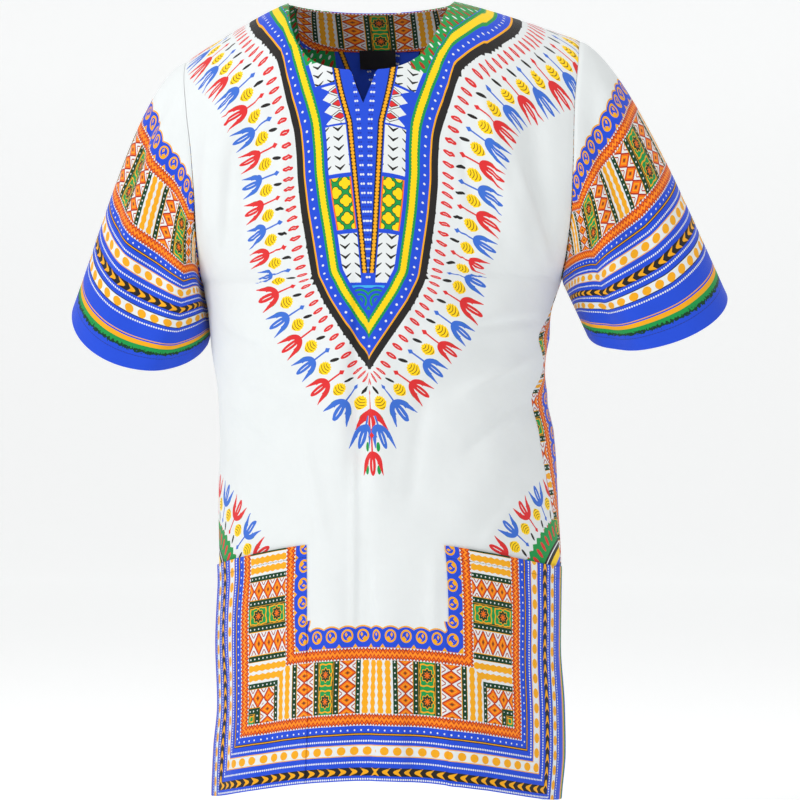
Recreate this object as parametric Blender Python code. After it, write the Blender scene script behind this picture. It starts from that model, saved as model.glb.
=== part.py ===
"""Dashiki shirt, filled out as it is worn: hollow cotton walls, open at the neck, the cuffs and the hem.

Metres, +Z up. The shirt faces -Y. Left and right are as seen from the front.
The origin is the middle of the neck opening, level with the two ends of the shoulder seams at the neck.
The tables are in millimetres, and MM turns them into metres.
"""

import bpy
import numpy as np

MM = 0.001

# Cloth
WALL = 1.5 * MM
POCKET_WALL = 1.2 * MM
FACING_WALL = 1.0 * MM
SEAM_GAP = 0.4 * MM
LAY_GAP = 0.3 * MM

# Shoulders and armholes
SHOULDER_ROUND = 130 * MM
SHOULDER_LEFT = (-189 * MM, -57 * MM)
SHOULDER_RIGHT = (205 * MM, -40 * MM)
NECK_SIDE_SHARE = 0.43
NECK_CENTRE = -3 * MM
ARMHOLE_HALF_DEPTH = 78 * MM
ARMHOLE_ROUND = 100 * MM
BACK_NECK_DROP = 4 * MM
NECK_RISE = 16 * MM
NECK_HALF_WIDTH = 83 * MM

# Rows across the body, from the shoulders down
TOP_LEVEL = -57 * MM
ARMPIT_LEVEL = -282 * MM
POCKET_LEVEL = -562 * MM
HEM_LEVEL = -792 * MM
ARMHOLE_ROWS = 12
CHEST_ROWS = 9
POCKET_ROWS = 8
ROW_SETTLE_LEVEL = -420 * MM
HEM_LIFT = 30 * MM

# Side slits
SLIT_TOP = -640 * MM
SLIT_SPREAD = 3.5 * MM

# Pockets, facing and label
POCKET_INNER_SHARE = 0.26
FACING_ROWS = 4
LABEL_HALF_WIDTH = 18.5 * MM
LABEL_TOP = -39 * MM
LABEL_HEIGHT = 18.5 * MM
LABEL_LIFT = 1.6 * MM

# The body's sections. left and right are where its sides reach, front and back how far it is deep.
TORSO_COLUMNS = ("z", "left", "right", "front", "back", "centre")
TORSO = (
    (20, -189, 205, -112, 98, -4),
    (-55, -188, 205, -114, 102, -1),
    (-110, -181, 202, -120, 110, 3),
    (-160, -174, 201, -126, 115, 4),
    (-210, -171, 199, -130, 116, 5),
    (-255, -171, 193, -132, 114, 6),
    (-282, -172, 185, -132, 112, 6),
    (-310, -167, 176, -131, 110, 6),
    (-345, -164, 171, -129, 109, 6),
    (-395, -157, 169, -127, 110, 7),
    (-430, -156, 176, -127, 112, 9),
    (-500, -157, 182, -128, 114, 12),
    (-560, -156, 186, -130, 116, 14),
    (-640, -159, 185, -132, 118, 14),
    (-700, -157, 189, -133, 119, 14),
    (-745, -161, 190, -134, 120, 13),
    (-800, -163, 186, -135, 120, 12),
)

# How far the side seams lie before (-) or behind (+) the middle of the sides.
SEAM_COLUMNS = ("z", "left", "right")
SIDE_SEAMS = (
    (-282, 0, 0),
    (-305, 2, -4),
    (-335, 4, -34),
    (-362, 5, -10),
    (-395, 5, -43),
    (-440, 5, -41),
    (-495, 4, -28),
    (-550, 3, -7),
    (-600, 0, 0),
    (-800, 0, 0),
)

# The front neckline: share is the column's place from the middle (0) to the armhole (1).
NECK_COLUMNS = ("share", "x", "z")
FRONT_NECK = (
    (0, 0, -111),
    (0.035, 7, -94),
    (0.07, 13.5, -78),
    (0.12, 22, -77),
    (0.18, 32, -75),
    (0.26, 43, -71),
    (0.32, 55, -63),
    (0.37, 65, -49),
    (0.40, 73, -31),
    (0.415, 78.5, -12),
    (0.43, 83, 0),
)
BACK_NECK_SHARES = (0, 0.08, 0.16, 0.24, 0.31, 0.37)
SHOULDER_SHARES = (0.43, 0.50, 0.57, 0.64, 0.71, 0.78, 0.85, 0.91, 0.96, 1)
SHOULDER_SIDES = (slice(0, len(SHOULDER_SHARES)), slice(-len(SHOULDER_SHARES), None))

# Folds: each runs between two places on its panel and stands out (+) or sinks in (-) by its depth.
FOLD_COLUMNS = ("x0", "z0", "x1", "z1", "width", "depth")
FRONT_FOLDS = (
    (-6, -280, -4, -500, 9, -6),
    (12, -300, 14, -520, 17, 5),
    (-22, -330, -24, -480, 14, 3),
    (-4, -500, -6, -800, 11, -4),
    (20, -560, 30, -800, 22, 4),
    (58, -660, 66, -800, 14, -4),
    (96, -600, 104, -800, 24, 4),
    (-40, -540, -12, -760, 18, 4),
    (-88, -580, -92, -800, 16, -4),
    (-120, -560, -126, -800, 15, 3),
    (126, -110, 158, -270, 20, 6),
    (160, -120, 172, -250, 12, -5),
    (60, -190, 128, -320, 26, -4),
    (-140, -90, -150, -250, 17, 5),
    (-112, -110, -128, -290, 13, -4),
    (-60, -200, -118, -330, 24, 3),
    (150, -300, 60, -350, 15, 4),
    (140, -330, 40, -420, 18, -4),
    (-150, -300, -70, -370, 17, 4),
    (-140, -420, -70, -520, 24, -4),
    (138, -440, 84, -520, 22, 4),
)
BACK_FOLDS = (
    (0, -60, 6, -360, 26, -5),
    (60, -110, 30, -420, 24, 6),
    (-60, -110, -34, -400, 22, 6),
    (110, -130, 84, -360, 20, -5),
    (-108, -130, -90, -340, 18, -5),
    (146, -130, 136, -300, 16, 5),
    (-136, -130, -128, -290, 16, 5),
    (20, -420, 34, -800, 26, 6),
    (-30, -460, -46, -800, 20, -6),
    (74, -480, 86, -800, 18, -5),
    (-84, -500, -92, -800, 22, 6),
    (120, -520, 126, -800, 18, 5),
    (-124, -560, -128, -800, 14, -4),
    (140, -320, 60, -380, 18, 5),
    (-140, -320, -60, -390, 20, 5),
    (120, -400, 40, -450, 18, -4),
    (-120, -410, -40, -470, 18, -4),
)

# Sleeves: outer and inner are the cuff's ends, out and down the ways that the cloth leaves and ends.
SLEEVES = {
    "sleeve_left": {
        "side": -1,
        "outer": (-301 * MM, -294 * MM),
        "inner": (-170 * MM, -343 * MM),
        "leave": (-130 * MM, -50 * MM),
        "end": (-90 * MM, -240 * MM),
        "arm": (-0.36, -0.93),
        "half_depth": 66 * MM,
        "front_drop": 46 * MM,
        "back_lift": 16 * MM,
    },
    "sleeve_right": {
        "side": 1,
        "outer": (349 * MM, -290 * MM),
        "inner": (212 * MM, -333 * MM),
        "leave": (140 * MM, -60 * MM),
        "end": (110 * MM, -240 * MM),
        "arm": (0.44, -0.90),
        "half_depth": 66 * MM,
        "front_drop": 34 * MM,
        "back_lift": 16 * MM,
    },
}
SLEEVE_RINGS = 10


# Sleeve folds: place is the way round from the top (0) over the front (0.25) and the underarm (0.5),
# along the way down. They stand out (+) or sink in (-) by their depth.
SLEEVE_FOLD_COLUMNS = ("place0", "along0", "place1", "along1", "width", "depth")
SLEEVE_FOLDS = {
    "sleeve_left": (
        (0.12, 0.05, 0.13, 0.55, 0.035, -6),
        (0.19, 0.10, 0.20, 0.80, 0.045, 6),
        (0.29, 0.15, 0.25, 0.95, 0.040, -5),
        (0.36, 0.30, 0.33, 1.05, 0.035, 5),
        (0.66, 0.10, 0.70, 0.90, 0.045, -6),
        (0.78, 0.10, 0.80, 1.05, 0.050, 6),
        (0.90, 0.05, 0.88, 0.60, 0.040, -4),
    ),
    "sleeve_right": (
        (0.14, 0.10, 0.15, 0.60, 0.040, 5),
        (0.24, 0.05, 0.22, 0.75, 0.045, -5),
        (0.31, 0.20, 0.30, 1.05, 0.040, 6),
        (0.39, 0.30, 0.38, 1.05, 0.035, -5),
        (0.64, 0.10, 0.68, 0.90, 0.045, 6),
        (0.76, 0.10, 0.78, 1.05, 0.045, -5),
        (0.88, 0.05, 0.86, 0.70, 0.045, 4),
    ),
}

# Colours, as linear red, green and blue
WHITE_COTTON = (0.86, 0.88, 0.87, 1)
BLUE_COTTON = (0.035, 0.08, 0.55, 1)
GREEN_COTTON = (0.03, 0.26, 0.09, 1)
LABEL_BLACK = (0.02, 0.02, 0.03, 1)
COTTON_ROUGHNESS = 0.85


def clear_scene():
    for thing in list(bpy.data.objects):
        bpy.data.objects.remove(thing, do_unlink=True)


def ease(start, end, value):
    """0 before start, 1 after end, and a smooth rise between."""
    share = np.clip((value - start) / (end - start), 0, 1)
    return share * share * (3 - 2 * share)


def quarter_round(share):
    """The height of a quarter circle over its base, from 0 at 0 to 1 at 1."""
    return np.sqrt(np.clip(1 - (1 - np.clip(share, 0, 1)) ** 2, 0, 1))


def column(table, columns, name):
    return np.array([row[columns.index(name)] for row in table], float)


def along(table, columns, name, at, key="z"):
    """The named column in metres, on a smooth curve through the table's rows, at places of its key column."""
    places = column(table, columns, key)
    values = column(table, columns, name) * MM
    if key == "z":
        places = places * MM
    order = np.argsort(places)
    places, values = places[order], values[order]
    steps = np.diff(places)
    slopes = np.diff(values) / steps
    tangents = np.zeros(len(places))
    same_way = slopes[1:] * slopes[:-1] > 0
    tangents[1:-1][same_way] = 2 / (1 / slopes[1:][same_way] + 1 / slopes[:-1][same_way])
    at = np.clip(at, places[0], places[-1])
    cell = np.clip(np.searchsorted(places, at) - 1, 0, len(steps) - 1)
    step = steps[cell]
    share = (at - places[cell]) / step
    return (
        values[cell] * (1 + 2 * share) * (1 - share) ** 2
        + tangents[cell] * step * share * (1 - share) ** 2
        + values[cell + 1] * share**2 * (3 - 2 * share)
        + tangents[cell + 1] * step * share**2 * (share - 1)
    )


def fold_relief(folds, columns, across, down, unit):
    """The sum of the folds at each place: a soft bell across each fold, fading out at its ends."""
    relief = np.zeros(np.broadcast(across, down).shape)
    for row in folds:
        a0, d0, a1, d1, width = (value * unit for value in row[: columns.index("depth")])
        depth = row[columns.index("depth")] * MM
        run = np.hypot(a1 - a0, d1 - d0)
        way = ((across - a0) * (a1 - a0) + (down - d0) * (d1 - d0)) / run**2
        off = ((across - a0) * (d1 - d0) - (down - d0) * (a1 - a0)) / run
        fading = ease(-0.12, 0.25, way) * (1 - ease(0.75, 1.12, way))
        relief += depth * fading * np.exp(-((off / width) ** 2))
    return relief


def row_levels():
    """The rows' levels at the sides, close together over the shoulder and at the pocket's and the hem's lines."""
    shares = np.linspace(0, 1, ARMHOLE_ROWS + 1)
    armhole = TOP_LEVEL + (ARMPIT_LEVEL - TOP_LEVEL) * shares**1.5
    chest = np.linspace(ARMPIT_LEVEL, POCKET_LEVEL, CHEST_ROWS + 1)
    pocket = np.linspace(POCKET_LEVEL, HEM_LEVEL, POCKET_ROWS + 1)
    return np.concatenate([armhole, chest[1:], pocket[1:]])


def mirrored(shares):
    half = np.array(sorted(shares))
    return np.concatenate([-half[:0:-1], half])


def shoulder_line(shares):
    """Height of the shoulders over each column, rising a little across the neck."""
    reach = np.clip((np.abs(shares) - NECK_SIDE_SHARE) / (1 - NECK_SIDE_SHARE), 0, 1)
    end = np.where(shares < 0, SHOULDER_LEFT[1], SHOULDER_RIGHT[1])
    rise = NECK_RISE * np.clip(1 - (shares / NECK_SIDE_SHARE) ** 2, 0, 1)
    return end * reach**1.15 + rise


def top_edge(shares, is_front):
    """x and z of a panel's upper edge: its shoulder seams and its half of the neckline."""
    part = np.abs(shares)
    reach = np.clip((part - NECK_SIDE_SHARE) / (1 - NECK_SIDE_SHARE), 0, 1)
    end = np.where(shares < 0, SHOULDER_LEFT[0], SHOULDER_RIGHT[0])
    side = np.sign(shares) * NECK_HALF_WIDTH + NECK_CENTRE
    shoulder_x = side + (end - side) * reach
    if is_front:
        neck_x = along(FRONT_NECK, NECK_COLUMNS, "x", part, "share")
        neck_z = along(FRONT_NECK, NECK_COLUMNS, "z", part, "share")
    else:
        neck_x = NECK_HALF_WIDTH * part / NECK_SIDE_SHARE
        neck_z = -BACK_NECK_DROP * (1 - (neck_x / NECK_HALF_WIDTH) ** 2)
    shift = NECK_CENTRE + (3 * MM if is_front else 0) * (1 - part / NECK_SIDE_SHARE)
    on_neck = part < NECK_SIDE_SHARE
    edge_x = np.where(on_neck, np.sign(shares) * neck_x + shift, shoulder_x)
    edge_z = np.where(on_neck, neck_z, shoulder_line(shares))
    return edge_x, edge_z


def panel_points(shares, is_front):
    """The outer points of the front or the back, a row for each level and a column for each share."""
    levels = row_levels()[:, None]
    shares = shares[None, :]
    edge_x, edge_z = top_edge(shares, is_front)
    settle = np.clip((levels - ROW_SETTLE_LEVEL) / (TOP_LEVEL - ROW_SETTLE_LEVEL), 0, 1) ** 1.5
    lift = HEM_LIFT * np.cos(np.pi / 2 * shares) ** 2 * (1 if is_front else 0.6)
    z = levels + (edge_z - TOP_LEVEL) * settle + lift * ease(ARMPIT_LEVEL, POCKET_LEVEL, levels)

    torso = {name: along(TORSO, TORSO_COLUMNS, name, z) for name in TORSO_COLUMNS[1:]}
    on_left = shares < 0
    full_x = np.where(on_left, torso["left"], torso["right"]) - torso["centre"]
    centre_y = torso["front"] if is_front else torso["back"]
    forward = -1 if is_front else 1

    armpit_z = ARMPIT_LEVEL + (edge_z[:, [0, -1]] - TOP_LEVEL) * settle[ARMHOLE_ROWS]
    armpit_z = np.where(on_left, armpit_z[:, :1], armpit_z[:, 1:])
    on_armhole = z > armpit_z
    armhole_y = forward * ARMHOLE_HALF_DEPTH * quarter_round((z - armpit_z) / ARMHOLE_ROUND)
    seam_left = along(SIDE_SEAMS, SEAM_COLUMNS, "left", z)
    seam_right = along(SIDE_SEAMS, SEAM_COLUMNS, "right", z)
    seam_y = np.where(on_left, seam_left, seam_right)
    seam_y = seam_y + forward * SLIT_SPREAD * ease(-SLIT_TOP, -HEM_LEVEL, -z)
    side_y = np.where(on_armhole, armhole_y, seam_y)
    side_depth = np.where(side_y < 0, torso["front"], torso["back"])
    side_x = np.where(on_armhole, full_x, full_x * np.sqrt(1 - (side_y / side_depth) ** 2))

    turn = np.arccos(side_y / centre_y)
    x = torso["centre"] + side_x * np.sin(np.abs(shares) * turn) / np.sin(turn)
    y = centre_y * np.cos(shares * turn)
    y = y * quarter_round((shoulder_line(shares) - z) / SHOULDER_ROUND)
    x = x + (edge_x - x[0]) * np.clip((levels - ARMPIT_LEVEL) / (TOP_LEVEL - ARMPIT_LEVEL), 0, 1) ** 2
    return np.stack([x, y, z], axis=-1)


def unit_vectors(vectors):
    return vectors / np.maximum(np.linalg.norm(vectors, axis=-1, keepdims=True), 1e-12)


def grid_normals(points, ring=False):
    """Directions out of a grid, whose rows run down and whose columns run round, at every point."""
    down = np.gradient(points, axis=0)
    if ring:
        round_way = np.roll(points, -1, axis=1) - np.roll(points, 1, axis=1)
    else:
        round_way = np.gradient(points, axis=1)
    return unit_vectors(np.cross(down, round_way))


def panel(shares, is_front):
    """A panel's outer points with its folds, and the directions out of it."""
    sense = 1 if is_front else -1
    points = panel_points(shares, is_front)
    out = grid_normals(points) * sense
    edge_fade = ease(0, 0.08, 1 - np.abs(shares))[None, :]
    top_fade = ease(-TOP_LEVEL, -TOP_LEVEL + SHOULDER_ROUND / 2, -row_levels())[:, None]
    folds = FRONT_FOLDS if is_front else BACK_FOLDS
    relief = fold_relief(folds, FOLD_COLUMNS, points[..., 0], points[..., 2], MM)
    points = points + out * (relief * edge_fade * top_fade)[..., None]
    return points, grid_normals(points) * sense


def shared_directions(first, second):
    """Both pieces' directions at a seam, drawn together where the cloth runs on, and kept at a sharp crease."""
    likeness = np.clip((first * second).sum(axis=-1, keepdims=True), 0, 1) ** 2
    return unit_vectors(first + second * likeness), unit_vectors(second + first * likeness)


def drawn_back(edge, neighbour, distance):
    return edge + unit_vectors(neighbour - edge) * distance


def armhole_ring(front, back, edge):
    """The points or directions round an armhole: down the front from the top to the armpit, and up the back."""
    top = (front[0, edge] + back[0, edge]) / 2
    armpit = (front[ARMHOLE_ROWS, edge] + back[ARMHOLE_ROWS, edge]) / 2
    down = front[1:ARMHOLE_ROWS, edge]
    up = back[ARMHOLE_ROWS - 1 : 0 : -1, edge]
    return np.concatenate([[top], down, [armpit], up])


def in_plane(pair):
    """A direction or a place in the plane of the sleeve's axis, from its x and z."""
    return np.array([pair[0], 0, pair[1]])


def sleeve_points(sizes, ring, folds):
    """The outer points of a sleeve: smooth curves from the armhole's ring to the slanted cuff."""
    place = np.arange(len(ring)) / len(ring)
    angle = (2 * np.pi * place)[:, None]
    outer, inner = in_plane(sizes["outer"]), in_plane(sizes["inner"])
    arm, leave, end = in_plane(sizes["arm"]), in_plane(sizes["leave"]), in_plane(sizes["end"])
    drop = np.where(angle < np.pi, sizes["front_drop"], sizes["back_lift"]) * np.sin(angle)
    forward = np.array([0, -sizes["half_depth"], 0])
    cuff = (outer + inner) / 2 + (outer - inner) / 2 * np.cos(angle) + forward * np.sin(angle) + arm * drop
    reach = np.linalg.norm(cuff - ring, axis=1, keepdims=True) / np.linalg.norm(outer - ring[0])
    over = np.cos(angle / 2) ** 2
    start_way = reach * (leave * over + np.linalg.norm(leave) * arm * (1 - over))
    end_way = reach * end
    t = (np.linspace(0, 1, SLEEVE_RINGS) ** 1.15)[:, None, None]
    points = (
        ring * (1 + 2 * t) * (1 - t) ** 2
        + start_way * t * (1 - t) ** 2
        + cuff * t**2 * (3 - 2 * t)
        + end_way * t**2 * (t - 1)
    )
    out = grid_normals(points, ring=True) * -sizes["side"]
    down = t[:, :, 0]
    relief = fold_relief(folds, SLEEVE_FOLD_COLUMNS, place[None, :], down, 1) * ease(0, 0.3, down)
    return points + out * relief[..., None]


def cotton(name, colour):
    material = bpy.data.materials.new(name + "_cotton")
    material.use_nodes = True
    shader = material.node_tree.nodes["Principled BSDF"]
    shader.inputs["Base Color"].default_value = colour
    shader.inputs["Roughness"].default_value = COTTON_ROUGHNESS
    shader.inputs["Metallic"].default_value = 0
    return material


def wall_object(name, outer, inner, colour, ring=False):
    """A closed wall between an outer and an inner grid of points, joined at its edges.

    The squares of the grid are halved the other way on the left, so that the two halves mirror each other.
    """
    rows, columns = outer.shape[:2]
    points = np.concatenate([outer.reshape(-1, 3), inner.reshape(-1, 3)])
    index = np.arange(rows * columns).reshape(rows, columns)
    if ring:
        index = np.concatenate([index, index[:, :1]], axis=1)
    a, b = index[:-1, :-1].ravel(), index[:-1, 1:].ravel()
    c, d = index[1:, 1:].ravel(), index[1:, :-1].ravel()
    on_left = (points[a, 0] + points[b, 0] < 0)[:, None]
    skin = np.concatenate(
        [
            np.where(on_left, np.stack([a, d, b], 1), np.stack([a, d, c], 1)),
            np.where(on_left, np.stack([b, d, c], 1), np.stack([a, c, b], 1)),
        ]
    )
    inside = rows * columns
    rims = [index[0], index[-1, ::-1]]
    if not ring:
        rims += [index[::-1, 0], index[:, -1]]
    faces = [skin, skin[:, ::-1] + inside]
    for rim in rims:
        start, stop = rim[:-1], rim[1:]
        faces.append(np.stack([start, stop, stop + inside], 1))
        faces.append(np.stack([start, stop + inside, start + inside], 1))
    faces = np.concatenate(faces)
    corners = points[faces]
    volume = np.einsum("ij,ij->i", corners[:, 0], np.cross(corners[:, 1], corners[:, 2])).sum()
    if volume < 0:
        faces = faces[:, ::-1]
    mesh = bpy.data.meshes.new(name)
    mesh.from_pydata(points.tolist(), [], faces.tolist())
    mesh.update()
    mesh.shade_smooth()
    mesh.set_sharp_from_angle(angle=np.radians(50))
    mesh.materials.append(cotton(name, colour))
    made = bpy.data.objects.new(name, mesh)
    bpy.context.collection.objects.link(made)
    return made


def laid_on(points, out, wall):
    """The two faces of a piece that lies on a panel's points, a small gap off it. out points away from the panel."""
    return points + out * (LAY_GAP + wall), points + out * LAY_GAP


def inset_edges(points):
    """The panel's points with its side edges and its shoulder edges drawn back by half the seam's gap."""
    inset = points.copy()
    for edge, neighbour in ((0, 1), (-1, -2)):
        inset[:, edge] = drawn_back(points[:, edge], points[:, neighbour], SEAM_GAP / 2)
    for side in SHOULDER_SIDES:
        inset[0, side] = drawn_back(inset[0, side], points[1, side], SEAM_GAP / 2)
    return inset


def make_shirt():
    front_shares = mirrored({row[0] for row in FRONT_NECK} | set(SHOULDER_SHARES))
    back_shares = mirrored(set(BACK_NECK_SHARES) | set(SHOULDER_SHARES))
    front, front_out = panel(front_shares, True)
    back, back_out = panel(back_shares, False)

    for side in SHOULDER_SIDES:
        front_out[0, side], back_out[0, side] = shared_directions(front_out[0, side], back_out[0, side])
    below = slice(ARMHOLE_ROWS, None)
    for edge in (0, -1):
        both = shared_directions(front_out[below, edge], back_out[below, edge])
        front_out[below, edge], back_out[below, edge] = both

    for name, sizes in SLEEVES.items():
        edge = 0 if sizes["side"] < 0 else -1
        points = sleeve_points(sizes, armhole_ring(front, back, edge), SLEEVE_FOLDS[name])
        out = grid_normals(points, ring=True) * -sizes["side"]
        body_out = unit_vectors(armhole_ring(front_out, back_out, edge))
        out[0], body_out = shared_directions(out[0], body_out)
        front_out[:ARMHOLE_ROWS, edge] = body_out[:ARMHOLE_ROWS]
        back_out[1:ARMHOLE_ROWS, edge] = body_out[:ARMHOLE_ROWS:-1]
        back_out[0, edge] = body_out[0]
        points[0] = drawn_back(points[0], points[1], SEAM_GAP / 2)
        wall_object(name, points, points - out * WALL, BLUE_COTTON, ring=True)

    front, back = inset_edges(front), inset_edges(back)
    front_lining, back_lining = front - front_out * WALL, back - back_out * WALL
    wall_object("front", front, front_lining, WHITE_COTTON)
    wall_object("back", back, back_lining, WHITE_COTTON)

    pocket_columns = {
        "pocket_left": front_shares <= -POCKET_INNER_SHARE,
        "pocket_right": front_shares >= POCKET_INNER_SHARE,
    }
    for name, columns in pocket_columns.items():
        cut = (slice(ARMHOLE_ROWS + CHEST_ROWS, None), columns)
        wall_object(name, *laid_on(front[cut], front_out[cut], POCKET_WALL), BLUE_COTTON)

    cut = (slice(0, FACING_ROWS), np.abs(back_shares) < NECK_SIDE_SHARE)
    wall_object("neck_facing", *laid_on(back_lining[cut], -back_out[cut], FACING_WALL), GREEN_COTTON)
    make_label(back_lining[:, np.flatnonzero(back_shares == 0)[0]])


def make_label(spine):
    """The label hangs from the facing's lower edge, inside the middle of the back, whose points are the spine."""
    across = np.linspace(-1, 1, 5)[None, :] * LABEL_HALF_WIDTH
    z = (LABEL_TOP - np.linspace(0, 1, 3) * LABEL_HEIGHT)[:, None] + 0 * across
    order = np.argsort(spine[:, 2])
    y = np.interp(z, spine[order, 2], spine[order, 1]) - across**2 / (2 * SHOULDER_ROUND) - LABEL_LIFT
    points = np.stack([across + spine[0, 0] + 0 * z, y, z], axis=-1)
    wall_object("label", points, points - np.array([0, FACING_WALL, 0]), LABEL_BLACK)


clear_scene()
make_shirt()
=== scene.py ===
import math
import bpy
import numpy as np
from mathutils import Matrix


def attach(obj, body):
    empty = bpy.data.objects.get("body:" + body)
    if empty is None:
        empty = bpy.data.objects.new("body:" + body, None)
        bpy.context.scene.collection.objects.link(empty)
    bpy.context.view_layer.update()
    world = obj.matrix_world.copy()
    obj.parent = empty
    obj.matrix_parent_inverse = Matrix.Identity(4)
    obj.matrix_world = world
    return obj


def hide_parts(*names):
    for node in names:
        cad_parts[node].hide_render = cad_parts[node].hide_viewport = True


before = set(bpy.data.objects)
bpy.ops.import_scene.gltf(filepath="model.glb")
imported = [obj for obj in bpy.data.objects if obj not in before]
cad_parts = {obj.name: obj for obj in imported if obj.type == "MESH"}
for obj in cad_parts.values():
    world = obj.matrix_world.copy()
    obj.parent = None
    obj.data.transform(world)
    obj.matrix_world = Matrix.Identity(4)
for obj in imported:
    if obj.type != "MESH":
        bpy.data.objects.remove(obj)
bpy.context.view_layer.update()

mm = 0.001
print("frame loaded")

# Shape: the same sections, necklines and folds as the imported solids, in millimetres

body = {
    "shoulderRound": 130 * mm,
    "shoulderLeft": (-189 * mm, -57 * mm),
    "shoulderRight": (205 * mm, -40 * mm),
    "neckSideShare": 0.43,
    "neckRise": 16 * mm,
    "neckCentre": -3 * mm,
    "neckHalfWidth": 83 * mm,
    "backNeckDrop": 4 * mm,
    "armholeHalfDepth": 78 * mm,
    "armholeRound": 100 * mm,
    "topLevel": -57 * mm,
    "armpitLevel": -282 * mm,
    "pocketLevel": -562 * mm,
    "hemLevel": -792 * mm,
    "rowSettleLevel": -420 * mm,
    "rowCrowding": 1.5,      # how the rows crowd towards the shoulder
    "hemLift": 30 * mm,
    "slitTop": -640 * mm,
    "slitSpread": 3.5 * mm,
    "cloth": 0.9 * mm,       # thickness of the shell
    "seamDip": 0.9 * mm,     # how far the cloth sinks along a seam
    "seamReach": 3 * mm,     # how far from the seam it sinks
    "seamGap": 0.15 * mm,    # how far each piece ends before the seam
    "creaseShare": 1.5,      # how strong the small creases are
    "armholeRows": 66,
    "chestRows": 84,
    "pocketRows": 66,
    "columns": 70,           # on each half
}

torsoColumns = ("z", "left", "right", "front", "back", "centre")
torso = (
    (20, -189, 205, -112, 98, -4),
    (-55, -188, 205, -114, 102, -1),
    (-110, -181, 202, -120, 110, 3),
    (-160, -174, 201, -126, 115, 4),
    (-210, -171, 199, -130, 116, 5),
    (-255, -171, 193, -132, 114, 6),
    (-282, -172, 185, -132, 112, 6),
    (-310, -167, 176, -131, 110, 6),
    (-345, -164, 171, -129, 109, 6),
    (-395, -157, 169, -127, 110, 7),
    (-430, -156, 176, -127, 112, 9),
    (-500, -157, 182, -128, 114, 12),
    (-560, -156, 186, -130, 116, 14),
    (-640, -159, 185, -132, 118, 14),
    (-700, -157, 189, -133, 119, 14),
    (-745, -161, 190, -134, 120, 13),
    (-800, -163, 186, -135, 120, 12),
)
seamColumns = ("z", "left", "right")
sideSeams = (
    (-282, 0, 0),
    (-305, 2, -4),
    (-335, 4, -34),
    (-362, 5, -10),
    (-395, 5, -43),
    (-440, 5, -41),
    (-495, 4, -28),
    (-550, 3, -7),
    (-600, 0, 0),
    (-800, 0, 0),
)
neckColumns = ("share", "x", "z")
frontNeck = (
    (0, 0, -111),
    (0.035, 7, -94),
    (0.07, 13.5, -78),
    (0.12, 22, -77),
    (0.18, 32, -75),
    (0.26, 43, -71),
    (0.32, 55, -63),
    (0.37, 65, -49),
    (0.40, 73, -31),
    (0.415, 78.5, -12),
    (0.43, 83, 0),
)
# each fold: from (x0, z0) to (x1, z1), its width, and how far it stands out or sinks in
frontFolds = (
    (-6, -280, -4, -500, 9, -6),
    (12, -300, 14, -520, 17, 5),
    (-22, -330, -24, -480, 14, 3),
    (-4, -500, -6, -800, 11, -4),
    (20, -560, 30, -800, 22, 4),
    (58, -660, 66, -800, 14, -4),
    (96, -600, 104, -800, 24, 4),
    (-40, -540, -12, -760, 18, 4),
    (-88, -580, -92, -800, 16, -4),
    (-120, -560, -126, -800, 15, 3),
    (126, -110, 158, -270, 20, 6),
    (160, -120, 172, -250, 12, -5),
    (60, -190, 128, -320, 26, -4),
    (-140, -90, -150, -250, 17, 5),
    (-112, -110, -128, -290, 13, -4),
    (-60, -200, -118, -330, 24, 3),
    (150, -300, 60, -350, 15, 4),
    (140, -330, 40, -420, 18, -4),
    (-150, -300, -70, -370, 17, 4),
    (-140, -420, -70, -520, 24, -4),
    (138, -440, 84, -520, 22, 4),
)
backFolds = (
    (0, -60, 6, -360, 26, -5),
    (60, -110, 30, -420, 24, 6),
    (-60, -110, -34, -400, 22, 6),
    (110, -130, 84, -360, 20, -5),
    (-108, -130, -90, -340, 18, -5),
    (146, -130, 136, -300, 16, 5),
    (-136, -130, -128, -290, 16, 5),
    (20, -420, 34, -800, 26, 6),
    (-30, -460, -46, -800, 20, -6),
    (74, -480, 86, -800, 18, -5),
    (-84, -500, -92, -800, 22, 6),
    (120, -520, 126, -800, 18, 5),
    (-124, -560, -128, -800, 14, -4),
    (140, -320, 60, -380, 18, 5),
    (-140, -320, -60, -390, 20, 5),
    (120, -400, 40, -450, 18, -4),
    (-120, -410, -40, -470, 18, -4),
)


def ease(start, end, value):  # 0 before start, 1 after end, a smooth rise between
    share = np.clip((value - start) / (end - start), 0, 1)
    return share * share * (3 - 2 * share)


def quarterRound(share):  # height of a quarter circle over its base
    return np.sqrt(np.clip(1 - (1 - np.clip(share, 0, 1)) ** 2, 0, 1))


def along(table, columns, name, at, key="z", keyUnit=mm, unit=mm):
    # A smooth curve through a table's column, rising only where the table rises
    places = np.array([row[columns.index(key)] for row in table], float) * keyUnit
    values = np.array([row[columns.index(name)] for row in table], float) * unit
    order = np.argsort(places)
    places, values = places[order], values[order]
    steps = np.diff(places)
    slopes = np.diff(values) / steps
    tangents = np.zeros(len(places))
    sameWay = slopes[1:] * slopes[:-1] > 0
    tangents[1:-1][sameWay] = 2 / (1 / slopes[1:][sameWay] + 1 / slopes[:-1][sameWay])
    at = np.clip(at, places[0], places[-1])
    cell = np.clip(np.searchsorted(places, at) - 1, 0, len(steps) - 1)
    step = steps[cell]
    share = (at - places[cell]) / step
    return (
        values[cell] * (1 + 2 * share) * (1 - share) ** 2
        + tangents[cell] * step * share * (1 - share) ** 2
        + values[cell + 1] * share**2 * (3 - 2 * share)
        + tangents[cell + 1] * step * share**2 * (share - 1)
    )


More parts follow.
